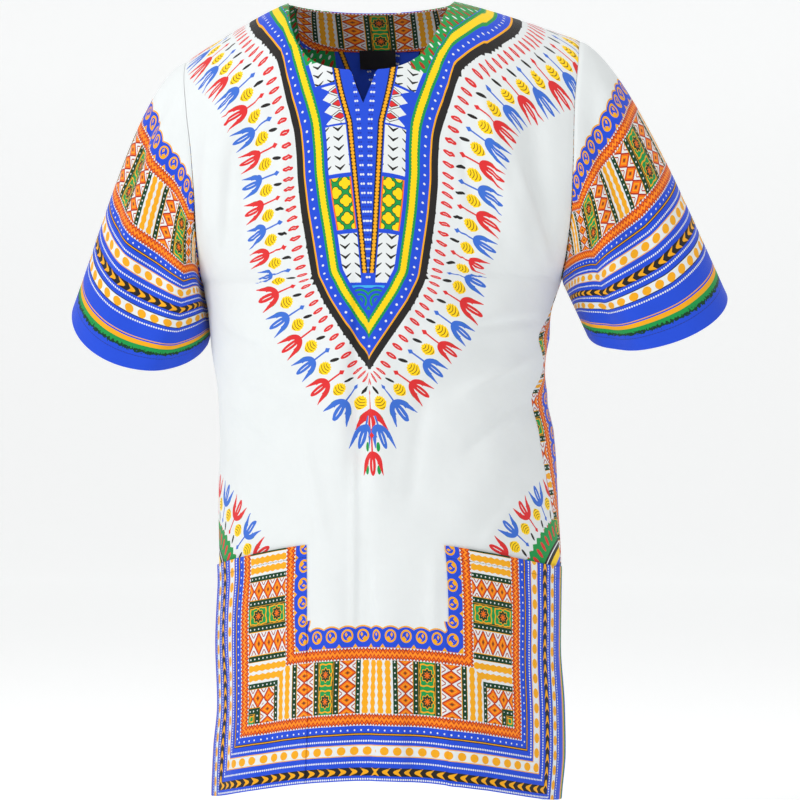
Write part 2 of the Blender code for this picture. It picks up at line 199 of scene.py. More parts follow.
def foldRelief(folds, across, down, unit):
    # The sum of the folds: a soft bell across each one, fading at its ends
    relief = np.zeros(np.broadcast(across, down).shape)
    for row in folds:
        a0, d0, a1, d1, width = (value * unit for value in row[:5])
        run = math.hypot(a1 - a0, d1 - d0)
        way = ((across - a0) * (a1 - a0) + (down - d0) * (d1 - d0)) / run**2
        off = ((across - a0) * (d1 - d0) - (down - d0) * (a1 - a0)) / run
        fading = ease(-0.12, 0.25, way) * (1 - ease(0.75, 1.12, way))
        relief += row[5] * mm * fading * np.exp(-((off / width) ** 2))
    return relief


def rowLevels():  # levels of the rows at the sides, closer together over the shoulder
    shares = np.linspace(0, 1, body["armholeRows"] + 1)
    armhole = body["topLevel"] + (body["armpitLevel"] - body["topLevel"]) * shares ** body["rowCrowding"]
    chest = np.linspace(body["armpitLevel"], body["pocketLevel"], body["chestRows"] + 1)
    pocket = np.linspace(body["pocketLevel"], body["hemLevel"], body["pocketRows"] + 1)
    return np.concatenate([armhole, chest[1:], pocket[1:]])


def shoulderLine(shares):  # height of the shoulders over each column, rising a little across the neck
    reach = np.clip((np.abs(shares) - body["neckSideShare"]) / (1 - body["neckSideShare"]), 0, 1)
    end = np.where(shares < 0, body["shoulderLeft"][1], body["shoulderRight"][1])
    rise = body["neckRise"] * np.clip(1 - (shares / body["neckSideShare"]) ** 2, 0, 1)
    return end * reach**1.15 + rise


def topEdge(shares, isFront):  # x and z of a panel's upper edge
    part = np.abs(shares)
    reach = np.clip((part - body["neckSideShare"]) / (1 - body["neckSideShare"]), 0, 1)
    end = np.where(shares < 0, body["shoulderLeft"][0], body["shoulderRight"][0])
    side = np.sign(shares) * body["neckHalfWidth"] + body["neckCentre"]
    if isFront:
        neckX = along(frontNeck, neckColumns, "x", part, "share", 1)
        neckZ = along(frontNeck, neckColumns, "z", part, "share", 1)
    else:
        neckX = body["neckHalfWidth"] * part / body["neckSideShare"]
        neckZ = -body["backNeckDrop"] * (1 - (neckX / body["neckHalfWidth"]) ** 2)
    shift = body["neckCentre"] + (3 * mm if isFront else 0) * (1 - part / body["neckSideShare"])
    onNeck = part < body["neckSideShare"]
    return (
        np.where(onNeck, np.sign(shares) * neckX + shift, side + (end - side) * reach),
        np.where(onNeck, neckZ, shoulderLine(shares)),
    )


def panelPoints(shares, isFront):
    # Each row is a stretch of an ellipse: its turn is set by how far its edge lies from the middle of
    # the side, and over the shoulder the depth shrinks as a quarter circle.
    levels = rowLevels()[:, None]
    shares = shares[None, :]
    edgeX, edgeZ = topEdge(shares, isFront)
    top, settled = body["topLevel"], body["rowSettleLevel"]
    settle = np.clip((levels - settled) / (top - settled), 0, 1) ** 1.5
    lift = body["hemLift"] * np.cos(np.pi / 2 * shares) ** 2 * (1 if isFront else 0.6)
    lift = lift * ease(body["armpitLevel"], body["pocketLevel"], levels)
    z = levels + (edgeZ - top) * settle + lift
    size = {name: along(torso, torsoColumns, name, z) for name in torsoColumns[1:]}
    onLeft = shares < 0
    fullX = np.where(onLeft, size["left"], size["right"]) - size["centre"]
    centreY = size["front"] if isFront else size["back"]
    forward = -1 if isFront else 1
    armpitZ = body["armpitLevel"] + (edgeZ[:, [0, -1]] - body["topLevel"]) * settle[body["armholeRows"]]
    armpitZ = np.where(onLeft, armpitZ[:, :1], armpitZ[:, 1:])
    onArmhole = z > armpitZ
    armholeY = forward * body["armholeHalfDepth"] * quarterRound((z - armpitZ) / body["armholeRound"])
    seamLeft = along(sideSeams, seamColumns, "left", z)
    seamRight = along(sideSeams, seamColumns, "right", z)
    seamY = np.where(onLeft, seamLeft, seamRight)
    seamY = seamY + forward * body["slitSpread"] * ease(-body["slitTop"], -body["hemLevel"], -z)
    sideY = np.where(onArmhole, armholeY, seamY)
    sideDepth = np.where(sideY < 0, size["front"], size["back"])
    sideX = np.where(onArmhole, fullX, fullX * np.sqrt(1 - (sideY / sideDepth) ** 2))
    turn = np.arccos(sideY / centreY)
    x = size["centre"] + sideX * np.sin(np.abs(shares) * turn) / np.sin(turn)
    y = centreY * np.cos(shares * turn)
    y = y * quarterRound((shoulderLine(shares) - z) / body["shoulderRound"])
    fade = np.clip((levels - body["armpitLevel"]) / (body["topLevel"] - body["armpitLevel"]), 0, 1) ** 2
    return np.stack([x + (edgeX - x[0]) * fade, y, z], axis=-1)


def unitVectors(vectors):
    return vectors / np.maximum(np.linalg.norm(vectors, axis=-1, keepdims=True), 1e-12)


def gridNormals(points, ring=False):  # the cross product of the ways down and round
    down = np.gradient(points, axis=0)
    if ring:
        roundWay = np.roll(points, -1, axis=1) - np.roll(points, 1, axis=1)
    else:
        roundWay = np.gradient(points, axis=1)
    return unitVectors(np.cross(down, roundWay))


def panelShares(isFront):  # columns packed closer round the neck slit and the neck's sides
    corner = body["neckSideShare"]
    neck = np.linspace(0, corner, 44 if isFront else 34)
    shoulder = np.linspace(corner, 1, body["columns"] - 34)
    half = np.concatenate([neck, shoulder[1:]])
    return np.concatenate([-half[:0:-1], half])


def makePanelGrid(isFront):
    shares = panelShares(isFront)
    sense = 1 if isFront else -1
    points = panelPoints(shares, isFront)
    out = gridNormals(points) * sense
    edgeFade = ease(0, 0.08, 1 - np.abs(shares))[None, :]
    levels = rowLevels()[:, None]
    topFade = ease(-body["topLevel"], -body["topLevel"] + body["shoulderRound"] / 2, -levels)
    folds = frontFolds if isFront else backFolds
    relief = foldRelief(folds, points[..., 0], points[..., 2], mm) * edgeFade * topFade
    return shares, points + out * relief[..., None], sense


sleeves = {
    "sleeveLeft": {
        "node": "sleeve_left",
        "side": -1,
        "outer": (-301, -294),
        "inner": (-170, -343),
        "leave": (-130, -50),
        "end": (-90, -240),
        "arm": (-360, -930),
        "halfDepth": 66 * mm,
        "frontDrop": 46 * mm,
        "backLift": 16 * mm,
        "folds": (
            (0.12, 0.05, 0.13, 0.55, 0.035, -6),
            (0.19, 0.10, 0.20, 0.80, 0.045, 6),
            (0.29, 0.15, 0.25, 0.95, 0.040, -5),
            (0.36, 0.30, 0.33, 1.05, 0.035, 5),
            (0.66, 0.10, 0.70, 0.90, 0.045, -6),
            (0.78, 0.10, 0.80, 1.05, 0.050, 6),
            (0.90, 0.05, 0.88, 0.60, 0.040, -4),
        ),
        "creases": (
            (0.05, 0.20, 0.20, 0.36, 0.020, 1.6),
            (0.10, 0.55, 0.24, 0.70, 0.016, -1.5),
            (0.22, 0.30, 0.34, 0.18, 0.018, 1.4),
            (0.30, 0.62, 0.42, 0.50, 0.016, 1.3),
            (0.60, 0.30, 0.74, 0.44, 0.020, -1.6),
            (0.80, 0.60, 0.92, 0.72, 0.018, 1.5),
        ),
    },
    "sleeveRight": {
        "node": "sleeve_right",
        "side": 1,
        "outer": (349, -290),
        "inner": (212, -333),
        "leave": (140, -60),
        "end": (110, -240),
        "arm": (440, -900),
        "halfDepth": 66 * mm,
        "frontDrop": 34 * mm,
        "backLift": 16 * mm,
        "folds": (
            (0.14, 0.10, 0.15, 0.60, 0.040, 5),
            (0.24, 0.05, 0.22, 0.75, 0.045, -5),
            (0.31, 0.20, 0.30, 1.05, 0.040, 6),
            (0.39, 0.30, 0.38, 1.05, 0.035, -5),
            (0.64, 0.10, 0.68, 0.90, 0.045, 6),
            (0.76, 0.10, 0.78, 1.05, 0.045, -5),
            (0.88, 0.05, 0.86, 0.70, 0.045, 4),
        ),
        "creases": (
            (0.06, 0.30, 0.18, 0.22, 0.018, -1.5),
            (0.12, 0.70, 0.26, 0.58, 0.016, 1.6),
            (0.24, 0.40, 0.36, 0.52, 0.020, -1.5),
            (0.33, 0.75, 0.44, 0.66, 0.015, 1.3),
            (0.62, 0.52, 0.76, 0.38, 0.018, 1.6),
            (0.82, 0.34, 0.94, 0.48, 0.020, -1.4),
        ),
    },
}
sleeveLook = {
    "rings": 88,
    # the print's length from the cuff in millimetres, at places round from the top over the front
    "capPlaces": (0, 0.2, 0.37, 0.48, 0.5, 0.52, 0.63, 0.8, 1),
    "capLengths": (262, 245, 207, 125, 110, 125, 207, 245, 262),
}
# small creases on the panels, as the folds are given
frontCreases = (
    (-88, -100, -96, -170, 5, -1.6),
    (-70, -130, -84, -240, 6, 1.5),
    (-130, -150, -140, -262, 6, -2.0),
    (-156, -130, -160, -230, 5, 1.6),
    (-118, -262, -70, -292, 6, 1.7),
    (-150, -330, -96, -352, 5, -1.5),
    (-128, -372, -60, -398, 7, 1.6),
    (-148, -402, -84, -452, 6, -1.4),
    (-60, -430, -34, -540, 7, 1.5),
    (-132, -470, -98, -540, 6, 1.5),
    (-12, -270, -12, -350, 3.5, 1.6),
    (2, -300, 3, -470, 3.5, -2.2),
    (-8, -430, -9, -640, 4, 1.8),
    (6, -540, 8, -790, 4, -1.8),
    (36, -250, 44, -360, 7, 1.3),
    (60, -380, 46, -500, 8, -1.4),
    (90, -130, 110, -230, 6, -1.6),
    (112, -96, 136, -190, 6, 1.8),
    (148, -170, 176, -262, 5, 1.8),
    (132, -236, 96, -280, 7, 1.8),
    (166, -318, 100, -330, 5, -1.8),
    (158, -356, 92, -392, 6, 1.8),
    (150, -400, 96, -450, 6, -1.6),
    (156, -480, 112, -540, 6, 1.7),
    (70, -540, 66, -660, 7, 1.4),
    (44, -620, 50, -790, 6, -1.7),
    (84, -680, 88, -790, 6, 1.5),
    (118, -640, 122, -790, 7, -1.5),
    (-30, -640, -34, -790, 5, 1.5),
    (-64, -600, -66, -790, 7, -1.6),
    (-104, -660, -108, -790, 6, 1.5),
    (-140, -640, -142, -780, 5, -1.4),
)
backCreases = (
    (-20, -90, -26, -230, 7, 1.6),
    (30, -80, 38, -220, 7, -1.5),
    (-84, -120, -70, -260, 7, -1.6),
    (88, -130, 78, -270, 6, 1.6),
    (-150, -180, -126, -270, 6, 1.8),
    (152, -170, 130, -260, 6, -1.8),
    (-120, -340, -60, -364, 6, 1.6),
    (118, -350, 62, -380, 6, -1.7),
    (-130, -450, -80, -500, 7, -1.5),
    (128, -470, 84, -520, 7, 1.5),
    (8, -380, 12, -560, 6, 1.6),
    (-12, -600, -16, -790, 6, -1.6),
    (56, -560, 60, -790, 6, 1.5),
    (-60, -600, -66, -790, 6, 1.6),
    (104, -620, 108, -790, 6, -1.5),
    (-106, -640, -110, -790, 6, 1.5),
)


def armholeRing(front, back, edge):  # down the front edge from the top to the armpit, and up the back edge
    rows = body["armholeRows"]
    top = (front[0, edge] + back[0, edge]) / 2
    armpit = (front[rows, edge] + back[rows, edge]) / 2
    return np.concatenate([[top], front[1:rows, edge], [armpit], back[rows - 1 : 0 : -1, edge]])


def sleevePoints(sizes, ring):
    # Smooth curves from the armhole's ring to the slanted cuff: each leaves the ring one way and ends another.
    place = np.arange(len(ring)) / len(ring)
    angle = (2 * np.pi * place)[:, None]
    names = ("outer", "inner", "arm", "leave", "end")
    outer, inner, arm, leave, end = (np.array([sizes[key][0], 0, sizes[key][1]]) * mm for key in names)
    drop = np.where(angle < np.pi, sizes["frontDrop"], sizes["backLift"]) * np.sin(angle)
    forward = np.array([0, -sizes["halfDepth"], 0])
    cuff = (outer + inner) / 2 + (outer - inner) / 2 * np.cos(angle) + forward * np.sin(angle) + arm * drop
    reach = np.linalg.norm(cuff - ring, axis=1, keepdims=True) / np.linalg.norm(outer - ring[0])
    over = np.cos(angle / 2) ** 2
    startWay = reach * (leave * over + np.linalg.norm(leave) * arm * (1 - over))
    t = (np.linspace(0, 1, sleeveLook["rings"]) ** 1.15)[:, None, None]
    points = (
        ring * (1 + 2 * t) * (1 - t) ** 2
        + startWay * t * (1 - t) ** 2
        + cuff * t**2 * (3 - 2 * t)
        + reach * end * t**2 * (t - 1)
    )
    out = gridNormals(points, ring=True) * -sizes["side"]
    down = t[:, :, 0]
    relief = foldRelief(sizes["folds"], place[None, :], down, 1) * ease(0, 0.3, down)
    relief = relief + foldRelief(sizes["creases"], place[None, :], down, 1) * ease(0, 0.2, down)
    return points + out * relief[..., None]


def arcLengths(points, axis):  # lengths along a grid's rows (axis 1) or columns (axis 0), from 0
    steps = np.linalg.norm(np.diff(points, axis=axis), axis=-1)
    lengths = np.cumsum(steps, axis=axis)
    return np.insert(lengths, 0, 0, axis=axis)


def wallObject(name, outer, inner, maps, regions, materials, ring=False):
    # A closed wall between two grids of points. maps: UV maps by name, each (u grid, v grid), on a grid
    # that for a ring has one more column than the points. regions: a material's number for each corner.
    rows, columns = outer.shape[:2]
    points = np.concatenate([outer.reshape(-1, 3), inner.reshape(-1, 3)])
    wide = columns + 1 if ring else columns
    corner = np.arange(rows * wide).reshape(rows, wide)
    vertex = np.arange(rows * columns).reshape(rows, columns)
    if ring:
        vertex = np.concatenate([vertex, vertex[:, :1]], axis=1)
    quads = [corner[:-1, :-1], corner[1:, :-1], corner[1:, 1:], corner[:-1, 1:]]
    cornerOfQuad = np.stack(quads, -1).reshape(-1, 4)
    vertexOf = vertex.ravel()
    rims = [corner[0], corner[-1, ::-1]] + ([] if ring else [corner[::-1, 0], corner[:, -1]])
    rimCorners = np.concatenate([np.stack([rim[1:], rim[:-1]], 1) for rim in rims])
    inside = rows * columns
    skin = vertexOf[cornerOfQuad]
    rimVertices = vertexOf[rimCorners]
    rimFaces = np.concatenate([rimVertices[:, ::-1], rimVertices + inside], axis=1)
    faces = np.concatenate([skin, skin[:, ::-1] + inside, rimFaces])
    aroundRims = np.concatenate([rimCorners[:, ::-1], rimCorners], axis=1)
    corners = np.concatenate([cornerOfQuad, cornerOfQuad[:, ::-1], aroundRims])
    at = points[faces]
    volume = np.einsum("ij,ij->i", at[:, 0], np.cross(at[:, 1], at[:, 2])).sum()
    volume += np.einsum("ij,ij->i", at[:, 0], np.cross(at[:, 2], at[:, 3])).sum()
    if volume < 0:
        faces, corners = faces[:, ::-1], corners[:, ::-1]
    mesh = bpy.data.meshes.new(name)
    mesh.from_pydata(points.tolist(), [], faces.tolist())
    for mapName, (u, v) in maps.items():
        layer = mesh.uv_layers.new(name=mapName)
        pairs = np.stack([np.broadcast_to(grid, corner.shape).ravel() for grid in (u, v)], -1)
        layer.data.foreach_set("uv", pairs[corners.ravel()].astype(np.float32).ravel())
    for material in materials:
        mesh.materials.append(material)
    chosen = np.broadcast_to(regions, corner.shape).ravel()[corners].min(axis=1)
    mesh.polygons.foreach_set("material_index", chosen.astype(np.int32))
    mesh.shade_smooth()
    mesh.set_sharp_from_angle(angle=math.radians(50))
    mesh.update()
    made = bpy.data.objects.new(name, mesh)
    bpy.context.collection.objects.link(made)
    return made


def declare(piece, nodes, slotName, flat, held, **facts):
    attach(piece, "root")
    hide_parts(*nodes)


def buildShape():
    # Every grid of the shirt with its maps, from the body's tables
    shape = {}
    for name, isFront in (("front", True), ("back", False)):
        shares, points, sense = makePanelGrid(isFront)
        creases = frontCreases if isFront else backCreases
        edgeFade = ease(0, 0.05, 1 - np.abs(shares))[None, :]
        out = gridNormals(points) * sense
        relief = foldRelief(creases, points[..., 0], points[..., 2], mm) * edgeFade * body["creaseShare"]
        points = points + out * relief[..., None]
        smooth = panelPoints(shares, isFront)
        u = arcLengths(smooth * [1, 1, 0], 1)
        middle = np.flatnonzero(shares == 0)[0]
        u = u - u[:, middle : middle + 1]
        v = -arcLengths(smooth, 0)
        chest = body["armholeRows"] + body["chestRows"] // 2
        v = v - v[chest] + smooth[chest, middle, 2]
        shape[name] = {"shares": shares, "points": points, "sense": sense, "u": u, "v": v, "middle": middle}
    return shape


def withSeams(grid):
    # The panel's outer points, sunk along its side, shoulder and armhole seams and drawn back from them
    points = grid["points"]
    out = gridNormals(points) * grid["sense"]
    u, v, shares = grid["u"], grid["v"], grid["shares"]
    toSide = np.minimum(u[:, -1:] - u, u - u[:, :1])
    toTop = v[:1] - v + np.where(np.abs(shares) < body["neckSideShare"] - 0.01, 1, 0)
    sunk = np.exp(-((toSide / body["seamReach"]) ** 2)) + np.exp(-((toTop / body["seamReach"]) ** 2))
    points = points - out * (np.clip(sunk, 0, 1) * body["seamDip"])[..., None]
    gap = body["seamGap"]
    points[:, 0] += unitVectors(points[:, 1] - points[:, 0]) * gap
    points[:, -1] += unitVectors(points[:, -2] - points[:, -1]) * gap
    shoulder = np.abs(shares) >= body["neckSideShare"]
    points[0, shoulder] += unitVectors(points[1, shoulder] - points[0, shoulder]) * gap
    return points, out


# Where the print lies on the cut cloth, in metres from the centre line and from the hem, seams and pockets
printPlan = {
    # half the yoke's edge, from the tip up: (from the centre line, level along the cloth), in millimetres
    "yokeOutline": (
        (0, -370),
        (16, -345),
        (29, -325),
        (44, -301),
        (55, -278),
        (60, -242),
        (65, -207),
        (68.5, -172),
        (69, -150),
        (71, -125),
        (76, -105),
        (83, -83),
        (91, -62),
        (99, -44),
        (118, -22),
        (144, 5),
        (180, 40),
        (215, 80),
    ),
    "ringOffset": 40 * mm,      # how far outside the yoke's edge the flowers' middle line lies
    "pocketBand": 144.5 * mm,   # where in the border's bands the pockets' inner edges lie
    "pocketSpread": 1.18,       # how much closer together the upright bands lie
    "pocketInner": 0.26,        # share of the column where the pockets begin
    "backStrip": 108 * mm,      # where in the border's bands the back's side edges lie
}


def evened(line, step):  # the line's points again, a step apart
    run = np.insert(np.cumsum(np.linalg.norm(np.diff(line, axis=0), axis=1)), 0, 0)
    at = np.arange(0, run[-1], step)
    return np.stack([np.interp(at, run, line[:, 0]), np.interp(at, run, line[:, 1])], -1)


def rounded(line, reach):  # the line averaged over its neighbours, mirrored at its first point
    kernel = np.hanning(2 * reach + 3)[1:-1]
    kernel /= kernel.sum()
    before = line[reach:0:-1] * [-1, 1]
    after = 2 * line[-1] - line[-2 : -2 - reach : -1]
    padded = np.concatenate([before, line, after])
    return np.stack([np.convolve(padded[:, i], kernel, "valid") for i in (0, 1)], -1)


def waysAlong(line):
    return unitVectors(np.gradient(line, axis=0))


def yokeLine(offset):  # half the yoke's edge, or a line that lies this far outside it
    line = rounded(evened(np.array(printPlan["yokeOutline"]) * mm, 2 * mm), 4)
    if offset:
        way = waysAlong(line)
        line = line + np.stack([way[:, 1], -way[:, 0]], -1) * offset
        tip = [[0, printPlan["yokeOutline"][0][1] * mm - offset]]
        line = np.concatenate([tip, line[line[:, 0] > 2 * mm]])
        line = rounded(evened(line, 2 * mm), 8)
    return line


def lineMap(u, v, line):
    # For each point: how far along the line from its lower end, and how far outside it (inside is negative).
    run = np.insert(np.cumsum(np.linalg.norm(np.diff(line, axis=0), axis=1)), 0, 0)
    way = waysAlong(line)
    place = np.stack([np.abs(u), v], -1).reshape(-1, 2)
    nearest = np.zeros(len(place), int)
    for part in np.array_split(np.arange(len(place)), 40):
        nearest[part] = ((place[part, None] - line[None]) ** 2).sum(-1).argmin(axis=1)
    off = place - line[nearest]
    away = (off * np.stack([way[nearest, 1], -way[nearest, 0]], -1)).sum(-1)
    far = np.where(nearest > 0, away, np.linalg.norm(off, axis=1) * np.sign(away))
    lengths = run[nearest] + (off * way[nearest]).sum(-1) * (nearest > 0)
    return lengths.reshape(u.shape), far.reshape(u.shape)


def panelMaps(name, grid):
    u, v, shares = grid["u"], grid["v"], grid["shares"]
    aboveHem = v - v[-1:]
    if name == "front":
        pocketU = np.array([np.interp(printPlan["pocketInner"], shares, row) for row in u])[:, None]
        fromPocket = printPlan["pocketBand"] - (np.abs(u) - pocketU) * printPlan["pocketSpread"]
    else:
        fromPocket = printPlan["backStrip"] + np.minimum(u[:, -1:] - u, u - u[:, :1])
    toSide = np.minimum(u[:, -1:] - u, u - u[:, :1])
    return {
        "cloth": (u, v),
        "yoke": lineMap(u, v, yokeLine(0)),
        "ring": lineMap(u, v, yokeLine(printPlan["ringOffset"])),
        "border": (fromPocket, aboveHem),
        "edge": (toSide, aboveHem),
    }


def sleeveMaps(points, grown):
    # Round from the underarm; grown is the grid with its first column again at the end.
    length = arcLengths(grown, 0)
    place = (np.arange(grown.shape[1]) / points.shape[1] + 0.5) % 1
    place[-1], place[0] = 0.5, 0.5
    cap = np.interp(place, sleeveLook["capPlaces"], sleeveLook["capLengths"]) * mm
    fromCuff = cap * (1 - length / length[-1:])
    around = arcLengths(grown, 1)
    around = around - around[:, [around.shape[1] // 2]]
    return fromCuff, around


shape = buildShape()
print("shape worked out")

cottonNames = ("white", "yoke", "flowers", "border", "side", "sleeve", "label")
materials = {name: bpy.data.materials.new(name) for name in cottonNames}


def panelRegions(name, grid, maps):
    # A material's number for each point, in the order of cottonNames; each region ends inside plain white
    # or inside the yoke's black line.
    distance = maps["yoke"][1]
    fromPocket, aboveHem = maps["border"]
    regions = np.zeros(distance.shape, int)
    regions[distance < 78 * mm] = 2  # flowers
    level = grid["v"]
    regions[(np.abs(grid["u"]) < 34 * mm) & (level < -380 * mm) & (level > -490 * mm)] = 2
    regions[distance < -2 * mm] = 1
    if name == "front":
        beside = (aboveHem > 90 * mm) & (aboveHem < 400 * mm) & (np.abs(grid["u"]) > 80 * mm)
        regions[beside & (regions == 0)] = 4
        regions[aboveHem < 160 * mm] = 3
    else:
        regions[np.minimum(aboveHem, fromPocket) < 156 * mm] = 3
        regions[distance < 0] = 1
    return regions


def makePieces():
    pieces = {}
    thick = body["cloth"]
    outs = {}
    for name in ("front", "back"):
        grid = shape[name]
        outer, out = withSeams(grid)
        maps = panelMaps(name, grid)
        regions = panelRegions(name, grid, maps)
        cottons = [materials[key] for key in cottonNames[:5]]
        pieces[name] = wallObject(name + "Panel", outer, outer - out * thick, maps, regions, cottons)
        outs[name] = (outer, out, maps)
    for name, sizes in sleeves.items():
        edge = 0 if sizes["side"] < 0 else -1
        ring = armholeRing(shape["front"]["points"], shape["back"]["points"], edge)
        points = sleevePoints(sizes, ring)
        points = np.roll(points, -(points.shape[1] // 2), axis=1)
        out = gridNormals(points, ring=True) * -sizes["side"]
        length = arcLengths(points, 0)
        sunk = np.exp(-((length / body["seamReach"]) ** 2)) * body["seamDip"]
        points = points - out * sunk[..., None]
        points[0] += unitVectors(points[1] - points[0]) * body["seamGap"]
        grown = np.concatenate([points, points[:, :1]], axis=1)
        fromCuff, around = sleeveMaps(points, grown)
        maps = {"border": (fromCuff, around), "cloth": (around, fromCuff)}
        inner = points - out * thick
        pieces[name] = wallObject(name, points, inner, maps, 0, [materials["sleeve"]], ring=True)
    return pieces, outs


pieces, outs = makePieces()
print("front, back and sleeves made")


pocketLook = {
    "gap": 0.3 * mm,         # off the front
    "cloth": 1.0 * mm,
    "mouthLift": 1.6 * mm,   # how far the mouth stands off
    "mouthReach": 12 * mm,   # how far down it still stands off
}


def makePockets():
    outer, out, maps = outs["front"]
    shares = shape["front"]["shares"]
    first = body["armholeRows"] + body["chestRows"]
    for name, side in (("pocketLeft", -1), ("pocketRight", 1)):
        columns = shares * side >= printPlan["pocketInner"]
        cut = (slice(first, None), columns)
        under, away = outer[cut], out[cut]
        span = {key: (u[cut], v[cut]) for key, (u, v) in maps.items()}
        down = span["cloth"][1][:1] - span["cloth"][1]
        span["edge"] = (span["edge"][0], down)
        arch = np.sin(np.linspace(0, np.pi, under.shape[1])) ** 0.5
        opened = np.exp(-((down / pocketLook["mouthReach"]) ** 2)) * arch
        lift = pocketLook["gap"] + pocketLook["mouthLift"] * opened
        lining = under + away * lift[..., None]
        outside = lining + away * pocketLook["cloth"]
        pieces[name] = wallObject(name, outside, lining, span, 0, [materials["border"]])


facingLook = {
    "depthShare": 3 / 12,    # how far down the armhole's rows the facing reaches
    "gap": 0.3 * mm,
    "cloth": 0.8 * mm,
    "topBand": 117 * mm,     # where in the border's bands its upper edge lies
    "bandSpread": 1.15,      # how much closer together the bands lie
}


def makeFacing():
    outer, out, maps = outs["back"]
    shares = shape["back"]["shares"]
    columns = np.abs(shares) < body["neckSideShare"]
    reach = (body["topLevel"] - body["armpitLevel"]) * facingLook["depthShare"] ** body["rowCrowding"]
    rows = np.flatnonzero(rowLevels() > body["topLevel"] - reach)
    cut = (slice(0, len(rows) + 1), columns)
    under, away = outer[cut] - out[cut] * (body["cloth"] + facingLook["gap"]), -out[cut]
    u, v = maps["cloth"][0][cut], maps["cloth"][1][cut]
    down = v[:1] - v
    bands = facingLook["topBand"] - down * facingLook["bandSpread"]
    span = {"cloth": (u, v), "border": (1 + u, bands), "edge": (u, down)}
    outside = under + away * facingLook["cloth"]
    pieces["neckFacing"] = wallObject("neckFacing", outside, under, span, 0, [materials["border"]])


labelLook = {
    "halfWidth": 18.5 * mm,
    "height": 18.5 * mm,
    "top": -39 * mm,
    "shift": -2 * mm,        # to the side of the back's middle
    "lift": 3.2 * mm,        # off the back
    "ripple": 0.5 * mm,
    "cloth": 0.5 * mm,
}


def makeLabel():
    # A small woven tab hanging from the facing's lower edge, inside the middle of the back
    outer, out, maps = outs["back"]
    spine = outer[:, shape["back"]["middle"]]
    look = labelLook
    across = np.linspace(-1, 1, 25)[None, :] * look["halfWidth"]
    z = (look["top"] - np.linspace(0, 1, 15) * look["height"])[:, None] + 0 * across
    order = np.argsort(spine[:, 2])
    bow = across**2 / (2 * body["shoulderRound"])
    y = np.interp(z, spine[order, 2], spine[order, 1]) - bow - look["lift"]
    y = y - look["ripple"] * np.cos(across / mm * 0.21 + z / mm * 0.12)
    points = np.stack([across + spine[0, 0] + look["shift"] + 0 * z, y, z], axis=-1)
    maps = {"cloth": (across + 0 * z, z)}
    behind = points - np.array([0, look["cloth"], 0])
    pieces["label"] = wallObject("label", points, behind, maps, 0, [materials["label"]])


makePockets()
makeFacing()
makeLabel()
print("pockets, facing and label made")

# Each piece's cut before it was sewn, in metres: width and length, and the area where it isn't a rectangle
flatSizes = {
    "front": ((0.49, 0.88), 0.355),
    "back": ((0.48, 0.88), 0.37),
    "sleeveLeft": ((0.60, 0.262), 0.079),
    "sleeveRight": ((0.62, 0.262), 0.085),
    "pocketLeft": ((0.175, 0.245), None),
    "pocketRight": ((0.175, 0.245), None),
    "neckFacing": ((0.19, 0.05), None),
    "label": ((0.037, 0.0185), None),
}


# Cotton and its print

paint = {  # the print's colours, as they show, red, green and blue from 0 to 255
    "white": (223, 227, 227),
    "blue": (30, 74, 208),
    "leafBlue": (58, 108, 204),
    "deepBlue": (26, 54, 172),
    "sky": (60, 170, 225),
    "yellow": (250, 208, 12),
    "gold": (238, 166, 22),
    "orange": (238, 108, 14),
    "amber": (250, 148, 30),
    "brick": (168, 44, 18),
    "red": (216, 44, 46),
    "green": (20, 146, 70),
    "darkGreen": (10, 58, 32),
    "black": (34, 31, 30),
    "brown": (112, 66, 20),
    "label": (22, 22, 26),
}


def linear(name):
    shares = np.array(paint[name]) / 255
    return (*np.where(shares < 0.04045, shares / 12.92, ((shares + 0.055) / 1.055) ** 2.4).tolist(), 1)


class Value:  # a shader socket that takes part in sums as a number does
    def __init__(self, cloth, socket):
        self.cloth = cloth
        self.socket = socket

    def __add__(self, other):
        return self.cloth.maths("ADD", self, other)

    __radd__ = __add__

    def __sub__(self, other):
        return self.cloth.maths("SUBTRACT", self, other)

    def __rsub__(self, other):
        return self.cloth.maths("SUBTRACT", other, self)

    def __mul__(self, other):
        return self.cloth.maths("MULTIPLY", self, other)

    __rmul__ = __mul__

    def __truediv__(self, other):
        return self.cloth.maths("DIVIDE", self, other)

    def __rtruediv__(self, other):
        return self.cloth.maths("DIVIDE", other, self)

    def __gt__(self, other):
        return self.cloth.maths("GREATER_THAN", self, other)

    def __lt__(self, other):
        return self.cloth.maths("LESS_THAN", self, other)

    def __abs__(self):
        return self.cloth.maths("ABSOLUTE", self)


